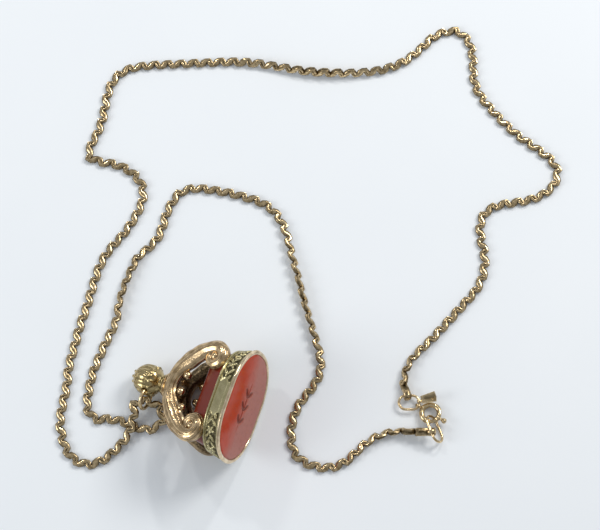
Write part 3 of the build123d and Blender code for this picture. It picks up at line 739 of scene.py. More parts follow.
@dataclass
class SealCollet:
    """The bright rim round the table and the chased band behind it."""

    seal: Axes
    face: tuple[float, float] = (13.9, 11.6)
    rear: tuple[float, float] = (12.45, 9.8)
    mouth: tuple[float, float] = (12.87, 10.57)
    waist: tuple[float, float] = (12.02, 8.77)
    corner_inset: float = 0.75
    rim_depth: float = 0.72
    step: float = 0.5
    band_depth: float = 4.9
    rear_rim: float = 0.25
    relief: float = 0.3
    panel_half: float = 4.4
    motif_pitch: float = 6.4
    ground_patina_and_shade: float = 0.93
    columns: int = 1080
    band_rows: int = 52

    def rim_profile(self) -> Array:
        """The rim's rows: half length, half breadth, station and no chasing."""
        (a, b), (e, f) = self.face, self.mouth
        rim, step = self.rim_depth, self.step
        return np.array(
            [
                (e + 0.42, f + 0.42, -0.56, 0),
                (e, f, -0.36, 0),
                (e, f, -0.13, 0),
                (e + 0.1, f + 0.1, -0.03, 0),
                (a - 0.6, b - 0.6, 0.0, 0),
                (a - 0.3, b - 0.3, -0.05, 0),
                (a - 0.09, b - 0.09, -0.24, 0),
                (a, b, -0.36, 0),
                (a - 0.02, b - 0.02, -rim + 0.2, 0),
                (a - 0.16, b - 0.16, -rim + 0.06, 0),
                (a - step - 0.05, b - step - 0.05, -rim - 0.1, 0),
            ]
        )

    def band_profile(self) -> Array:
        """The band's rows: half length, half breadth, station and how much of the chasing shows there."""
        (a, b), (c, d), (e, f), (g, h) = self.face, self.rear, self.mouth, self.waist
        rim = self.rim_depth
        share = np.linspace(0.0, 1.0, self.band_rows)
        band = np.stack(
            [
                a - self.step + (c - a + self.step) * share,
                b - self.step + (d - b + self.step) * share,
                -rim - 0.08 + (rim + 0.08 - self.band_depth + 0.52) * share,
                np.minimum(1.0, np.minimum(share, 1.0 - share) * 9.0),
            ],
            axis=-1,
        )
        lip = self.rear_rim
        back = (
            (c + lip - 0.06, d + lip - 0.06, -self.band_depth + 0.46, 0),
            (c + lip, d + lip, -self.band_depth + 0.32, 0),
            (c + lip, d + lip, -self.band_depth + 0.16, 0),
            (c + lip - 0.1, d + lip - 0.1, -self.band_depth + 0.02, 0),
            (c + lip - 0.26, d + lip - 0.26, -self.band_depth, 0),
            (g, h, -self.band_depth, 0),
        )
        return np.vstack([[(e + 0.45, f + 0.45, -rim, 0)], band, back])

    def chasing(self, run: Array, station: Array, total: float) -> Array:
        """How high the band is chased at a distance along it and a station.

        A plain panel with a raised border and waved ends lies in the middle of each long side. Between the
        panels five-petalled rosettes, r < R (0.72 + 0.28 cos 5a), and veined leaves, ellipses that curl
        away from them, stand on a sunk ground.
        """
        across = station + (self.rim_depth + self.band_depth) / 2.0
        from_panel = np.abs(run % (total / 2.0) - total / 4.0)
        edge = self.panel_half + 0.5 * np.cos(across * 2.2) - from_panel
        panel = smooth_step(edge, 0.0, 0.12) * (0.62 + 0.3 * np.exp(-(((edge - 0.25) / 0.16) ** 2)))
        panel = panel - 0.22 * smooth_step(edge, 0.4, 0.6) * smooth_step(1.25 - np.abs(across), 0.0, 0.15)
        near = (from_panel - self.panel_half - 1.1) % self.motif_pitch - self.motif_pitch / 2.0
        far = np.hypot(near, across)
        angle = np.arctan2(across, near)
        petals = 1.5 * (0.72 + 0.28 * np.cos(5.0 * angle))
        height = smooth_step(petals - far, 0.0, 0.3) * (0.5 + 0.5 * smooth_step(far, 0.3, 0.7))
        height = np.maximum(height, smooth_step(0.45 - far, 0.0, 0.2))
        leaves = ((2.3, 32.0, 2.5, 0.95), (2.0, -40.0, 2.2, 0.8), (3.2, -8.0, 1.8, 0.7))
        for side in (-1, 1):
            for centre, lean, length, breadth in leaves:
                du = near - side * centre
                dv = across - 0.022 * side * lean
                along, over = turned_into(du, dv, lean * side)
                over = over + 0.16 * along**2 * side
                leaf = 1.0 - (2.0 * along / length) ** 2 - (2.0 * over / breadth) ** 2
                vein = 0.5 * np.exp(-((over / 0.1) ** 2)) + 0.25 * np.cos(along * 9.0) ** 2
                height = np.maximum(height, smooth_step(leaf, 0.0, 0.6) * (1.0 - vein))
        ground = 0.1 * np.cos(run * 9.0) * np.cos(station * 9.0) - 0.1
        return np.where(edge > 0.0, panel, np.where(height > 0.05, height, ground))

    def ring(self, rows: Array) -> Surface:
        """A closed ring through the rows of a profile, chased where its last column says so."""
        outline = RoundedOutline(*self.face, self.face[1] - self.corner_inset, self.columns)
        shares, normals, run = outline.places()
        corner = rows[:, None, 1:2] - self.corner_inset
        flat = shares * (rows[:, None, :2] - corner) + normals * corner
        height = self.chasing(run[None], rows[:, 2:3], float(run[-1] + run[1])) * rows[:, 3:]
        flat = flat + normals * (height * self.relief)[..., None]
        # The sunk ground of the chasing is darkened: patina and painted shade.
        shade_and_patina = self.ground_patina_and_shade * rows[:, 3:] * (1.0 - smooth_step(height, -0.1, 0.45))
        grid = self.seal.place(raised(flat, rows[:, 2:3]))
        return grid_surface(grid[::-1], wrap_rows=True, shade_and_patina=shade_and_patina[::-1])

    def build(self, shop: Workshop) -> None:
        """Makes the rim and the band."""
        shop.piece("seal_rim", self.ring(self.rim_profile()), RIM)
        shop.piece("seal_collet", self.ring(self.band_profile()), CHASED, nodes=("seal_setting",))


@dataclass
class SealScrolls:
    """The two C-scrolls that carry the handle, their granules, the saddle and the collar."""

    seal: Axes
    wire: float = 1.56
    radius: float = 11.2
    apex: float = 17.8
    height: float = 4.75
    lean: float = 14.0
    volute_radius: float = 2.4
    volute_station: float = 9.7
    volute_turn: float = 330.0
    volute_eye: float = 1.25
    leaf_swell: float = 0.75
    leaf_place: float = 8.5
    leaf_spread: float = 5.0
    flutes: int = 9
    flute_depth: float = 0.065
    granule: float = 1.05
    granule_inset: float = 0.6
    granule_angles: tuple[float, ...] = (-40.0, -10.0, 20.0)
    saddle: tuple[float, float] = (3.5, 6.0)
    saddle_half: float = 0.85
    collar_radius: float = 3.4
    collar_station: float = 21.2

    def volute_reach(self) -> float:
        """How far across from the scroll's middle a volute's middle lies, where the two rounds touch."""
        drop = self.volute_station - self.radius
        return math.sqrt((self.radius - self.volute_radius) ** 2 - drop**2)

    def lift(self, flat: Array, side: int) -> Array:
        """Points of one scroll's leaning plane, x across and y towards the stone, as (u, v, w)."""
        lean = math.radians(self.lean)
        v = side * (self.height + flat[..., 1] * math.sin(lean))
        return np.stack([flat[..., 0], v, -self.apex + flat[..., 1] * math.cos(lean)], axis=-1)

    def half_path(self) -> tuple[Array, Array]:
        """From the apex to the end of one volute: points in the scroll's plane and the wire's radius.

        A half round of one radius runs on into a spiral whose radius shrinks evenly with its turn.
        """
        across = self.volute_reach()
        touch = math.degrees(math.atan2(self.volute_station - self.radius, across))
        arc = polar(self.radius, np.linspace(-90.0, touch, 150)) + [0.0, self.radius]
        turn = np.linspace(0.0, self.volute_turn, 110)[1:]
        shrink = self.volute_radius * (1.0 - 0.42 * (turn / self.volute_turn) ** 1.2)
        spiral = polar(shrink, touch + turn) + [across, self.volute_station]
        thin = self.wire * (1.0 - 0.45 * smooth_step(turn, 80.0, self.volute_turn))
        return np.vstack([arc, spiral]), np.concatenate([np.full(len(arc), self.wire), thin])

    def scroll(self, side: int) -> Surface:
        """One scroll: a wire that swells inward on each side and whose flutes are cosines round it.

        The swells are bell curves along the wire, in the scroll's plane.
        """
        half, thin = self.half_path()
        flat = np.vstack([(half * [-1.0, 1.0])[::-1], half[1:]])
        radius = np.concatenate([thin[::-1], thin[1:]])
        run = run_along(flat)
        middle = run[len(thin) - 1]
        past = run - middle
        leaf = self.leaf_swell * np.exp(-(((np.abs(past) - self.leaf_place) / self.leaf_spread) ** 2))
        swell = leaf * (1.0 + 0.12 * np.cos(past * math.pi / 1.9)) + 0.02 * np.cos(past * math.pi / 2.6)
        inward = unit(np.stack([-np.gradient(flat[:, 1]), np.gradient(flat[:, 0])], axis=-1))
        flat = flat + inward * leaf[:, None]
        columns = 36
        angle = ring_angles(columns)
        fade = 0.5 + 0.5 * smooth_step(-past, -6.0, 1.0)
        flute = self.flute_depth * np.cos(np.radians(angle) * self.flutes)[None] * fade[:, None]
        section = polar(radius[:, None] * (1.0 + flute), angle[None])
        section[..., 1] *= 1.0 + (swell / radius)[:, None]
        # Painted shade on the side that faces the other scroll, and a little darker all over and in the
        # flute grooves, for patina and painted shade.
        inner_side_shade = 0.85 * smooth_step(-np.cos(np.radians(angle)), 0.1, 0.8)[None]
        shade_and_patina = np.clip(np.maximum(0.08 - 9.0 * flute, inner_side_shade), 0.0, 0.9)
        path = self.seal.place(self.lift(flat, side))
        lean = math.radians(self.lean)
        face = np.array([0.0, side * math.cos(lean), -math.sin(lean)])
        normal = self.seal.place(face) - self.seal.origin
        return sweep(path, normal, section, shade_and_patina=shade_and_patina)

    def collar(self) -> Surface:
        """The moulded collar: a cylinder with a bead at its foot and a groove below its lip."""
        low, high = -self.collar_station, -self.apex + 0.6
        r = self.collar_radius
        corners = (
            (1.7, low),
            (r - 0.7, low),
            (r - 0.35, low + 0.18),
            (r - 0.3, low + 0.5),
            (r - 0.75, low + 0.8),
            (r - 0.7, low + 1.1),
            (r - 0.05, low + 1.35),
            (r, low + 1.75),
            (r - 0.1, low + 2.1),
            (r - 0.6, low + 2.4),
            (r - 0.55, high - 0.3),
            (r - 0.3, high),
            (1.7, high + 0.1),
        )
        profile = rounded_profile(corners, 60)
        columns, beads = 96, 16
        bead = 0.05 * np.cos(np.radians(ring_angles(columns)) * beads)
        return lathe(self.seal, profile, columns, bead[None] * smooth_step(profile[:, :1], r - 0.5, r))

    def saddle_plate(self) -> Surface:
        """The oval saddle: a softened disc with a scalloped edge, narrower across than up."""
        half = self.saddle_half
        edge = polar(half, np.linspace(-90.0, 90.0, 13))
        rows = np.vstack([[[0.2, -half]], edge + [self.saddle[1] - half, 0.0], [[0.2, half]]])
        angle = ring_angles(72)
        leaf = 1.0 + 0.06 * np.cos(np.radians(angle) * 10.0)[None]
        flat = polar(rows[:, :1] * leaf, angle) * [self.saddle[0] / self.saddle[1], 1.0]
        points = self.seal.place(raised(flat, rows[:, 1:] - self.apex))
        return grid_surface(points, close_first=True, close_last=True)

    def granules(self, side: int) -> list[Surface]:
        """Small balls along the inside of one scroll."""
        found = []
        for angle in self.granule_angles:
            reach = self.radius - self.wire - self.granule - self.granule_inset
            flat = polar(reach, angle - 90.0) + [0.0, self.radius]
            found.append(ball(self.seal.place(self.lift(flat, side)), self.granule))
        return found

    def build(self, shop: Workshop) -> None:
        """Makes the scrolls with all that is soldered to them."""
        parts = [self.collar(), self.saddle_plate()]
        across = self.volute_reach()
        for side in (1, -1):
            parts.append(self.scroll(side))
            parts.extend(self.granules(side))
            for turn in (-1.0, 1.0):
                eye = np.array([turn * across, self.volute_station])
                parts.append(ball(self.seal.place(self.lift(eye, side)), self.volute_eye, 14, 20))
        piece = shop.piece("seal_scrolls", joined(parts), SCROLL)
        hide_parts("seal_setting")


@dataclass
class SealHandle:
    """The chased knob on its foot, and the round ring through it."""

    seal: Axes
    radius: float = 3.9
    station: float = 26.0
    foot: float = 2.5
    foot_station: float = 21.28
    eye_station: float = 25.2
    ring_offset: float = 4.55
    ring_radius: float = 2.6
    ring_wire: float = 0.47
    dimple: float = 0.85
    petals: int = 8
    belt_dots: int = 14
    belt_height: float = 0.36
    crown_beads: int = 7

    def knob(self) -> Surface:
        """The knob: an onion profile, fluted into petals, with a belt of dots and two mouths."""
        low, high = -self.station - self.radius, -self.foot_station
        neck = -self.station + math.sqrt(self.radius**2 - 2.35**2)
        bulb = polar(self.radius, np.linspace(-84.0, 52.0, 60)) - [0.0, self.station]
        neck_rows = np.array(
            [
                (2.05, neck + 0.35),
                (1.9, neck + 0.6),
                (2.3, high - 0.75),
                (self.foot, high - 0.45),
                (self.foot - 0.1, high - 0.1),
                (self.foot - 0.4, high),
            ]
        )
        profile = rounded_profile(np.vstack([bulb, neck_rows]), 110)
        columns = 144
        angle = ring_angles(columns)
        share = (profile[:, 1] - low) / (high - low)
        window = (smooth_step(share, 0.06, 0.2) * (1.0 - smooth_step(share, 0.5, 0.62)))[:, None]
        petal = np.cos(np.radians(angle) * self.petals)[None]
        swell = window * (0.26 * np.abs(petal) ** 0.6 - 0.28)
        dots = smooth_step(np.cos(np.radians(angle) * self.belt_dots), -0.1, 0.8)[None]
        belt = np.exp(-(((share - 0.67) / 0.045) ** 2))[:, None]
        swell = swell + self.belt_height * belt * dots
        mouth = -0.3 * (1.0 - smooth_step(share, 0.02, 0.05))[:, None]
        local = polar(profile[:, :1] + np.zeros((1, columns)), angle)
        above = self.station - self.eye_station
        bulb_square = self.radius**2 - above**2
        u = -(bulb_square - self.ring_radius**2 + self.ring_offset**2) / (2.0 * self.ring_offset)
        half = math.sqrt(max(self.ring_radius**2 - (u + self.ring_offset) ** 2, 0.0))
        for side in (-1, 1):
            flat_away = np.hypot(local[..., 0] - u, local[..., 1] - side * half)
            away = np.hypot(flat_away, profile[:, 1:] + self.eye_station)
            swell = swell - 0.8 * (1.0 - smooth_step(away, 0.3, self.dimple))
            swell = swell + 0.2 * np.exp(-(((away - self.dimple - 0.12) / 0.16) ** 2))
        return lathe(self.seal, profile, columns, swell + mouth)

    def beads(self) -> list[Surface]:
        """A ring of granules round the knob's crown, and one on its tip."""
        tip = -self.station - self.radius
        found = [ball(self.seal.place(np.array([0.0, 0.0, tip + 0.35])), 0.62)]
        for angle in ring_angles(self.crown_beads):
            found.append(ball(self.seal.place(np.append(polar(1.55, angle), tip + 0.42)), 0.42))
        return found

    def build(self, shop: Workshop) -> None:
        """Makes the knob and its ring."""
        shop.piece("knob", joined([self.knob()] + self.beads()), KNOB, nodes=("handle_knob",))
        angle = ring_angles(96)
        flat = polar(self.ring_radius, angle) - [self.ring_offset, 0.0]
        path = self.seal.place(raised(flat, -self.eye_station))
        ring = sweep(path, self.seal.z, round_section(self.ring_wire, 16), closed=True)
        shop.piece("pendant_loop", ring, WIRE, nodes=("pendant_ring",))


# Chain
@dataclass
class Chain:
    """Two strands of S links, each link bent from flat strip and hooked into the next.

    A link is a hook, a slanting bar and a hook the other way round. Its middle line runs round each
    hook's middle, which lies half a hook radius inside the joint along the line that halves the corner
    with the neighbour.
    """

    start: Array
    finish: Array
    width: float = 0.82
    depth: float = 0.95
    hook: float = 0.87
    tip: float = 0.4
    pitch: float = 3.4
    rest_gap: float = 0.05
    half_width: float = 1.07
    half_depth: float = 0.45
    roll_clear: float = 0.13
    bar_swell: float = 1.3
    ridge: float = 0.09
    chamfer: float = 0.14
    edge_swell: float = 1.2
    end_taper: float = 0.82
    side_shade: float = 0.85
    hook_shade: float = 0.15
    hook_stations: int = 3
    bar_stations: int = 1

    def rest_height(self, roll: Array) -> Array:
        """How high a link's middle rests at a roll about its length."""
        turn = np.radians(roll)
        half = (self.half_width + self.roll_clear) * np.abs(np.sin(turn))
        return half + self.half_depth * np.abs(np.cos(turn)) + self.rest_gap

    def placed(self, points: Array) -> Array:
        """Route points x, y, roll and lift as x, y, z and roll."""
        x, y, roll, lift = points.T
        return np.stack([x, y, self.rest_height(roll) + np.maximum(lift, 0.0), roll], axis=-1)

    def curve(self, points: Array, steps: int = 12) -> Array:
        """Dense points on the Catmull-Rom curve through the route's points."""
        ends = np.vstack([points[:1], points, points[-1:]])
        t = (np.arange(steps) / steps)[None, :, None]
        before, a, b, after = (ends[k : len(ends) - 3 + k, None] for k in range(4))
        dense = (
            before * (-t + 2 * t**2 - t**3)
            + a * (2 - 5 * t**2 + 3 * t**3)
            + b * (t + 4 * t**2 - 3 * t**3)
            + after * (-(t**2) + t**3)
        ) / 2.0
        return np.vstack([dense.reshape(-1, points.shape[1]), points[-1:]])

    def pace(self, dense: Array, chord: float) -> list[Array]:
        """The joints met by walking along dense points in straight steps of one chord.

        Each step ends where the sphere of one chord about the last joint cuts the run, the greater root
        of the quadratic in the share of the run.
        """
        joints = [dense[0]]
        for a, b in zip(dense, dense[1:]):
            while np.linalg.norm(b[:3] - joints[-1][:3]) >= chord:
                way, back = b[:3] - a[:3], a[:3] - joints[-1][:3]
                square, half = way @ way, way @ back
                share = (-half + math.sqrt(half * half - square * (back @ back - chord * chord))) / square
                joints.append(a + (b - a) * share)
        return joints

    def joints(self, points: Array) -> Array:
        """Joints from the first point to the last, as many equal links as come nearest the pitch."""
        dense = self.placed(self.curve(points))
        count = len(self.pace(dense, self.pitch))
        low, high = self.pitch * 0.95, self.pitch * 1.06
        for _ in range(40):
            chord = (low + high) / 2.0
            if len(self.pace(dense, chord)) > count:
                low = chord
            else:
                high = chord
        return np.vstack([self.pace(dense, low)[:count], dense[-1:]])

    def strand(self, joints: Array, before: Array, after: Array, eye: int) -> Surface:
        """All the links between joints as one surface.

        Args:
            joints: The joints, as x, y, z and roll.
            before: The direction of the link before the first.
            after: The direction of the link after the last.
            eye: 0 if the first link starts in an eye, or -1 if the last one ends in one.

        Returns:
            The links.
        """
        start, end = joints[:-1], joints[1:]
        along = unit(end[:, :3] - start[:, :3])
        side = unit(np.cross([0.0, 0.0, 1.0], along))
        roll = np.radians((start[:, 3] + end[:, 3]) / 2.0)[:, None]
        broad = np.cross(along, side) * np.cos(roll) + side * np.sin(roll)
        over = np.cross(broad, along)
        chord = np.linalg.norm(end[:, :3] - start[:, :3], axis=1)
        ways = np.vstack([before, along, after])

        def bend(neighbour: Array) -> Array:
            """The angle in each link's plane of the line that halves the corner with its neighbour."""
            half = along + neighbour
            return np.arctan2(np.sum(half * over, axis=1), np.sum(half * along, axis=1))

        turn_in, turn_out = bend(ways[:-2]), bend(ways[2:])
        inset_in, inset_out = np.full(len(chord), self.hook / 2.0), np.full(len(chord), self.hook / 2.0)
        tip_in, tip_out = np.full(len(chord), self.tip), np.full(len(chord), self.tip)
        (inset_in if eye == 0 else inset_out)[eye] = 0.0
        (tip_in if eye == 0 else tip_out)[eye] = 0.01
        first = np.stack([np.cos(turn_in), np.sin(turn_in)], axis=-1) * inset_in[:, None]
        last = np.stack([chord - np.cos(turn_out) * inset_out, -np.sin(turn_out) * inset_out], axis=-1)
        span = last - first
        slope = np.arctan2(span[:, 1], span[:, 0])
        slope = slope + np.arcsin(2.0 * self.hook / np.linalg.norm(span, axis=1))
        quarter = math.pi / 2.0
        share = np.linspace(0.0, 1.0, self.hook_stations)[None]
        arc_in = (turn_in + math.pi)[:, None] + (slope - turn_in + quarter)[:, None] * share
        arc_out = (slope + quarter)[:, None] - (slope - turn_out + quarter)[:, None] * share
        hook_in = first[:, None] + self.hook * np.stack([np.cos(arc_in), np.sin(arc_in)], axis=-1)
        hook_out = last[:, None] + self.hook * np.stack([np.cos(arc_out), np.sin(arc_out)], axis=-1)
        bar_share = np.linspace(0.0, 1.0, self.bar_stations + 2)[None, 1:-1, None]
        bar = hook_in[:, -1:] + (hook_out[:, :1] - hook_in[:, -1:]) * bar_share
        way_in = np.stack([-np.sin(turn_in), np.cos(turn_in)], axis=-1)
        way_out = np.stack([np.sin(turn_out), -np.cos(turn_out)], axis=-1)
        tip_start = hook_in[:, :1] + (way_in * tip_in[:, None])[:, None]
        tip_end = hook_out[:, -1:] + (way_out * tip_out[:, None])[:, None]
        middle = np.concatenate([tip_start, hook_in, bar, hook_out, tip_end], axis=1)
        tangent = unit(np.gradient(middle, axis=1))
        inward = np.stack([-tangent[..., 1], tangent[..., 0]], axis=-1)
        way = np.linspace(-1.0, 1.0, middle.shape[1])
        swell = 1.0 + self.bar_swell * np.exp(-((way / 0.27) ** 2))
        swell[[0, -1]] = self.end_taper
        section = self.strip_section()
        flat = middle[:, :, None] + inward[:, :, None] * (section[:, 0] * swell[:, None])[None, ..., None]
        broadened = 1.0 + self.edge_swell * np.sin(roll) ** 10
        lift = (section[:, 1] * np.minimum(swell, 1.0)[:, None])[None] * broadened[..., None]
        points = (
            start[:, None, None, :3]
            + flat[..., :1] * along[:, None, None]
            + flat[..., 1:] * over[:, None, None]
            + lift[..., None] * broad[:, None, None]
        )
        # Painted shade: the strip's sides are darkened for the dim room that they would mirror, and each
        # link is darkened towards its hooks, where the links meet.
        rest = np.abs(np.arange(middle.shape[1]) / (middle.shape[1] - 1.0) - 0.5) * 2.0
        edge = self.side_shade * smooth_step(np.abs(section[:, 0]) / self.width, 0.2, 0.5)
        shade_and_patina = np.maximum(self.hook_shade * rest[:, None] ** 2, edge[None])
        links = [grid_surface(link, close_first=True, close_last=True, shade_and_patina=shade_and_patina) for link in points]
        ring = polar(self.hook, ring_angles(20))
        centre = (first if eye == 0 else last)[eye] + ring
        path = start[eye, :3] + centre[:, :1] * along[eye] + centre[:, 1:] * over[eye]
        links.append(sweep(path, broad[eye], section[:, ::-1] * [1.04, -1.04], closed=True))
        return joined(links)

    def strip_section(self) -> Array:
        """The strip's section: eight corners with slanted sides and ridged faces, x across its thickness."""
        a, b, cut, low = self.width / 2.0, self.depth / 2.0, self.chamfer, self.depth / 2.0 - self.ridge
        upper = [(a, 0.0), (a - cut, low), (0.0, b), (-a + cut, low)]
        return np.array(upper + [(-x, -y) for x, y in upper])[::-1] * [-1.0, 1.0]

    def build(self, shop: Workshop) -> None:
        """Makes both strands, which meet in the turn through the seal's ring."""
        long_points, loop, short_points = (np.array(points, float) for points in CHAIN_ROUTE)
        loop = self.placed(loop)
        meeting = len(loop) // 2
        eye_height = float(self.rest_height(np.array(90.0)))
        first = [[self.start[0], self.start[1], 90.0, self.start[2] - eye_height]]
        last = [[self.finish[0], self.finish[1], 90.0, self.finish[2] - eye_height]]
        long_joints = np.vstack([self.joints(np.vstack([first, long_points])), loop[1 : meeting + 1]])
        short_joints = np.vstack([loop[meeting:-1], self.joints(np.vstack([short_points, last]))])
        long_way = unit(long_joints[-1:, :3] - long_joints[-2:-1, :3])
        short_way = unit(short_joints[1:2, :3] - short_joints[:1, :3])
        head = unit(long_joints[1:2, :3] - long_joints[:1, :3])
        tail = unit(short_joints[-1:, :3] - short_joints[-2:-1, :3])
        long_strand = self.strand(long_joints, head, short_way, 0)
        short_strand = self.strand(short_joints, long_way, tail, -1)
        shop.piece("long_strand", long_strand, CHAIN, nodes=("chain_long",))
        shop.piece("short_strand", short_strand, CHAIN, nodes=("chain_short",))


# Clasp
@dataclass
class Clasp:
    """The spring ring with its bolt, the two oval rings and the small tag."""

    plane: Axes
    radius: float = 2.15
    tube: float = 0.65
    bolt: float = 0.39
    gap_start: float = -92.0
    gap_end: float = -58.0
    lever_angle: float = -32.0
    lever_throw: float = 40.0
    lever_margin: float = 11.0
    lever_length: float = 1.7
    lever_head: float = 0.66
    lever_neck: float = 0.33
    socket: float = 4.0
    bolt_tail: float = 12.0
    lug_angle: float = 150.0
    lug_radius: float = 0.9
    lug_hole: float = 0.52
    lug_width: float = 0.5
    lug_lift: float = 0.62
    lug_sink: float = 0.36
    wire: float = 0.32
    long_ring: tuple[float, float] = (5.0, 3.4)
    short_ring: tuple[float, float] = (6.76, 3.48)
    short_heading: float = -68.9
    short_pitch: float = 2.8
    short_tilt: float = 47.0
    short_angle: float = -85.0
    short_grip: float = 1.37
    short_lift: float = 0.17
    short_hold: float = 0.5
    strip_depth: float = 0.9
    tag_angle: float = 10.0
    tag_slope: float = 22.0
    tag_length: float = 4.4
    tag_breadths: tuple[float, float] = (1.8, 2.6)
    tag_depth: float = 0.35
    tag_side: float = 0.25
    tag_dish: float = -0.42
    barrel: float = 0.6
    barrel_middle: float = 0.49
    barrel_half: tuple[float, float] = (0.36, 0.1)

    def ring_point(self, angle: float | Array, out: float | Array = 0.0, up: float | Array = 0.0) -> Array:
        """A point by its angle round the clasp, its distance out of the tube's middle and its height."""
        flat = polar(self.radius + out, angle)
        return self.plane.place(raised(flat, up))

    def lug_centre(self) -> Array:
        """The middle of the eye on the clasp's side."""
        reach = self.tube + self.lug_radius - self.lug_sink
        return self.ring_point(self.lug_angle, reach, self.lug_lift)

    def long_axes(self) -> Axes:
        """Level axes of the long strand's oval ring, whose end runs through the clasp's eye."""
        length, breadth = self.long_ring
        end = self.lug_centre() - np.append(polar(breadth / 2.0, self.lug_angle - 180.0), 0.0)
        return Axes(end - [(length - breadth) / 2.0, 0.0, 0.0], *np.eye(3))

    def short_axes(self) -> Axes:
        """Axes of the short strand's oval ring, tilted round the clasp's tube."""
        way = unit(np.append(polar(1.0, self.short_heading), math.tan(math.radians(self.short_pitch))))
        side = np.append(polar(1.0, self.short_heading + 90.0), 0.0)
        up = np.cross(way, side)
        tilt = math.radians(self.short_tilt)
        origin = self.ring_point(self.short_angle) + way * (self.short_ring[0] / 2.0 - self.short_grip)
        facing = up * math.cos(tilt) + side * math.sin(tilt)
        return axes_about(origin + [0.0, 0.0, self.short_lift], facing, way)

    def holds(self) -> tuple[Array, Array]:
        """Where the strands' end eyes hold the oval rings."""
        length, breadth = self.long_ring
        along = -(length - breadth) / 2.0 + self.strip_depth / 3.0
        first = self.long_axes().place(np.array([along, breadth / 2.0, 0.0]))
        last = self.short_axes().place(np.array([self.short_hold, -self.short_ring[1] / 2.0, 0.0]))
        return first, last

    def oval(self, axes: Axes, size: tuple[float, float]) -> Surface:
        """An oval ring: two half rounds joined by straight wires."""
        straight, turn = (size[0] - size[1]) / 2.0, size[1] / 2.0
        angle = np.linspace(-90.0, 90.0, 36)
        right = polar(turn, angle) + [straight, 0.0]
        flat = np.vstack([right, -right])
        path = axes.place(raised(flat, 0.0))
        return sweep(path, axes.z, round_section(self.wire, 14), closed=True)

    def tube_surface(self) -> Surface:
        """The spring ring: a tube with its gap, rolled collars at its ends and a slot for the lever.

        The section's radius swells by a bell curve at each end, and its outer side sinks between the
        slot's angles.
        """
        angle = np.linspace(self.gap_end, self.gap_start + 360.0, 260)
        path = self.ring_point(angle)
        turn = ring_angles(32)
        edge = np.minimum(angle - self.gap_end, self.gap_start + 360.0 - angle)
        collar = 0.06 * np.exp(-((edge - 5.0) / 3.0) ** 2)
        radius = (self.tube + collar - 0.12 * (1.0 - smooth_step(edge, 0.0, 1.6)))[:, None]
        low = self.lever_angle - self.lever_margin
        high = self.lever_angle + self.lever_throw + self.lever_margin
        inside = smooth_step(angle, low, low + 2.0) * (1.0 - smooth_step(angle, high - 2.0, high))
        facing = smooth_step(np.cos(np.radians(turn)), 0.78, 0.95)
        sunk = inside[:, None] * facing[None]
        section = polar(radius * (1.0 - 0.4 * sunk), turn[None])
        out = unit(path - self.plane.origin)
        # Painted shade in the lever's slot, and darker along a line just past each rolled collar.
        shade_and_patina = np.maximum(sunk, 0.25 * np.exp(-((edge - 9.5) / 1.2) ** 2)[:, None])
        return sweep(path, out, section, shade_and_patina=shade_and_patina)

    def lug(self) -> Surface:
        """The eye on the tube's side: a flat ring with round edges, square to the tube."""
        centre = self.lug_centre()
        out = unit(self.ring_point(self.lug_angle, 1.0) - self.ring_point(self.lug_angle))
        middle = (self.lug_radius + self.lug_hole) / 2.0
        half = (self.lug_radius - self.lug_hole) / 2.0
        flat = polar(middle, ring_angles(48))
        path = centre + flat[:, :1] * out + flat[:, 1:] * self.plane.z
        section = round_section(1.0, 12) * [self.lug_width / 2.0, half]
        return sweep(path, np.cross(out, self.plane.z), section, closed=True)

    def bolt_surface(self) -> Surface:
        """The curved bolt with its thumb lever, a short post under a round head."""
        angle = np.linspace(self.gap_start - self.socket, self.lever_angle + self.bolt_tail, 60)
        path = self.ring_point(angle)
        rod = sweep(path, unit(path - self.plane.origin), round_section(self.bolt, 18))
        foot = self.ring_point(self.lever_angle)
        out = unit(self.ring_point(self.lever_angle, 1.0) - foot)
        post_axes = axes_about(foot, out, self.plane.z)
        tip, head, neck = self.lever_length, self.lever_head, self.lever_neck
        corners = (
            (neck - 0.03, 0.0),
            (neck, tip - 0.75),
            (head - 0.16, tip - 0.5),
            (head, tip - 0.2),
            (head, tip + 0.15),
            (head - 0.21, tip + 0.5),
            (0.1, tip + 0.58),
        )
        return joined([rod, lathe(post_axes, rounded_profile(corners, 30), 24)])

    def tag(self) -> Surface:
        """The small flared plate with a dished face and its rolled end round the ring's wire.

        The plate's section is a rounded rectangle, powers of the cosine and the sine round it.
        """
        length, breadth = self.long_ring
        end = self.long_axes().origin + [(length - breadth) / 2.0, 0.0, 0.0]
        centre = end + np.append(polar(breadth / 2.0, self.tag_angle), 0.0)
        across = np.append(polar(1.0, self.tag_angle + 90.0), 0.0)
        slope = math.radians(self.tag_slope)
        along = np.append(polar(math.cos(slope), self.tag_angle), math.sin(slope))
        axes = Axes(centre, along, across, np.cross(along, across))
        rows = np.linspace(self.barrel - 0.05, self.tag_length, 30)
        share = (rows - rows[0]) / (rows[-1] - rows[0])
        half = (self.tag_breadths[0] + (self.tag_breadths[1] - self.tag_breadths[0]) * share) / 2.0
        turn = np.radians(ring_angles(32))
        rim = np.sign(np.cos(turn)) * np.abs(np.cos(turn)) ** 0.45
        rise = np.sign(np.sin(turn)) * np.abs(np.sin(turn)) ** 0.6
        v = half[:, None] * rim[None] + self.tag_side
        dish = self.tag_dish * np.cos(rim[None] * math.pi) * (0.4 + 0.6 * share[:, None])
        w = rise[None] * self.tag_depth / 2.0 + dish
        u = np.broadcast_to(rows[:, None], v.shape)
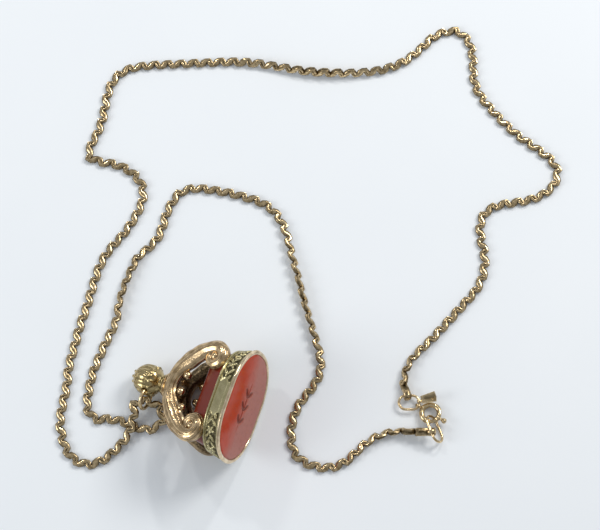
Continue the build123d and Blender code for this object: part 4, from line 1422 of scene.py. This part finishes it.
        # A painted stripe of shade along the middle of the plate's faces, in its dish, fading in from the
        # rolled end.
        groove = 0.85 * np.exp(-(((rim[None] - 0.15) / 0.4) ** 2)) * smooth_step(share, 0.0, 0.3)[:, None]
        points = axes.place(np.stack([u, v, w], axis=-1))
        plate = grid_surface(points, close_first=True, close_last=True, shade_and_patina=groove)
        flat = polar(self.barrel_middle, ring_angles(28))
        path = centre + flat[:, :1] * along + flat[:, 1:] * axes.z
        roll = sweep(path, across, round_section(1.0, 12) * self.barrel_half, closed=True)
        return joined([plate, roll])

    def build(self, shop: Workshop) -> None:
        """Makes the clasp's pieces."""
        ring = joined([self.tube_surface(), self.lug()])
        long_oval = self.oval(self.long_axes(), self.long_ring)
        short_oval = self.oval(self.short_axes(), self.short_ring)
        shop.piece("clasp_ring", ring, CLASP, nodes=("spring_ring",))
        shop.piece("bolt", self.bolt_surface(), CLASP, body=BOLT_BODY, nodes=("clasp_bolt",))
        shop.piece("tag", self.tag(), CLASP, nodes=("clasp_tag",), sharp=40.0)
        shop.piece("oval_long", long_oval, WIRE, nodes=("jump_ring_long",))
        shop.piece("oval_short", short_oval, WIRE, nodes=("jump_ring_short",))


# Stage
@dataclass
class Stage:
    """The pale table, the soft lamps and the camera."""

    floor_half: float = 1500.0
    floor_height: float = -0.08
    floor_shades: tuple[Colour, Colour] = ((0.82, 0.855, 0.885), (0.86, 0.89, 0.915))
    room_colour: Colour = (0.9, 0.94, 1.0)
    room_light: float = 0.43
    target: tuple[float, float, float] = (-3.35, -5.66, 0.0)
    distance: float = 430.0
    elevation: float = 76.0
    focal_pixels: float = 1720.0
    image_width: float = 600.0
    sensor: float = 36.0

    def floor(self) -> None:
        """A wide pale sheet just under the necklace."""
        half = self.floor_half
        corners = np.array([(-half, -half), (half, -half), (half, half), (-half, half)])
        points = raised(corners, self.floor_height) * MM
        mesh = bpy.data.meshes.new("table_top")
        mesh.from_pydata(points.tolist(), [], [(0, 1, 2, 3)])
        board = NodeBoard("pale_card")
        tone = board.noise(45.0, detail=3.0)
        board.link(board.blend(tone, *self.floor_shades), board.shader.inputs["Base Color"])
        board.shader.inputs["Roughness"].default_value = 0.75
        mesh.materials.append(board.material)
        floor = bpy.data.objects.new("table_top", mesh)
        bpy.context.scene.collection.objects.link(floor)

    def lamp(self, name: str, place: Sequence[float], size: float, watts: float, colour: Colour) -> None:
        """A square soft lamp at a place in millimetres, facing the necklace."""
        light = bpy.data.lights.new(name, "AREA")
        light.shape, light.size, light.energy, light.color = "SQUARE", size * MM, watts, colour
        lamp = bpy.data.objects.new(name, light)
        self.stand(lamp, np.array(place, float), np.zeros(3))
        bpy.context.scene.collection.objects.link(lamp)

    def stand(self, item: bpy.types.Object, place: Array, target: Array) -> None:
        """Sets an item at a place, looking at a target, with its top up."""
        z = unit(place - target)
        x = unit(np.cross([0.0, 1.0, 0.001], z))
        y = np.cross(z, x)
        matrix = np.eye(4)
        matrix[:3, :3] = np.stack([x, y, z], axis=-1)
        matrix[:3, 3] = place * MM
        item.matrix_world = Matrix(matrix.tolist())

    def camera(self) -> None:
        """The camera at the photographed angle, by its distance and its focal length in pixels."""
        data = bpy.data.cameras.new("camera")
        data.sensor_fit, data.sensor_width = "HORIZONTAL", self.sensor
        data.lens = self.sensor * self.focal_pixels / self.image_width
        data.clip_start, data.clip_end = 0.01, 20.0
        camera = bpy.data.objects.new("camera", data)
        tip = math.radians(self.elevation)
        target = np.array(self.target)
        place = target + self.distance * np.array([0.0, -math.cos(tip), math.sin(tip)])
        self.stand(camera, place, target)
        bpy.context.scene.collection.objects.link(camera)
        bpy.context.scene.camera = camera

    def build(self) -> None:
        """Sets the table, lamps, surroundings and camera."""
        self.floor()
        warm, cool = (1.0, 0.98, 0.95), (0.97, 0.99, 1.0)
        self.lamp("window", (430.0, 300.0, 470.0), 240.0, 2.3, warm)
        self.lamp("spark", (120.0, 420.0, 420.0), 40.0, 0.55, warm)
        self.lamp("glint", (-260.0, 330.0, 400.0), 40.0, 0.32, warm)
        self.lamp("fill", (-520.0, -120.0, 300.0), 260.0, 1.1, cool)
        world = bpy.data.worlds.new("room")
        world.use_nodes = True
        back = world.node_tree.nodes["Background"]
        back.inputs["Color"].default_value = (*self.room_colour, 1.0)
        back.inputs["Strength"].default_value = self.room_light
        bpy.context.scene.world = world
        bpy.context.scene.view_settings.view_transform = "Standard"
        self.camera()


def seal_axes(record: dict) -> Axes:
    """The seal's axes, from the record's mount on the stone's table, with w = 0 at the rim's face."""
    mount = next(mount for mount in record["mounts"] if mount["name"] == "seal_table")
    axis = unit(np.array(mount["axis"], float))
    up = np.array([0.0, 0.0, 1.0])
    return axes_about(np.array(mount["pos_m"], float) / MM, axis, np.cross(up, axis))


def clasp_axes(record: dict) -> Axes:
    """The clasp's axes, from the lever's joint, with x level."""
    joint = next(joint for joint in record["behaviour"]["joints"] if joint["name"] == "clasp_lever")
    axis = unit(np.array(joint["axis"], float))
    return axes_about(np.array(joint["pos_m"], float) / MM, axis, np.cross([0.0, 1.0, 0.0], axis))


def main() -> None:
    logging.basicConfig(level=logging.INFO, format="%(name)s: %(message)s")
    shop = Workshop()
    seal = seal_axes(frame["record"])
    clasp = Clasp(clasp_axes(frame["record"]))
    seal_parts = (SealStone(seal), SealCollet(seal), SealScrolls(seal), SealHandle(seal))
    for part in (*seal_parts, clasp, Chain(*clasp.holds())):
        part.build(shop)
        LOG.info("%s built", type(part).__name__)
    Stage().build()


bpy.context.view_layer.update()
if __name__ == "__main__":
    main()
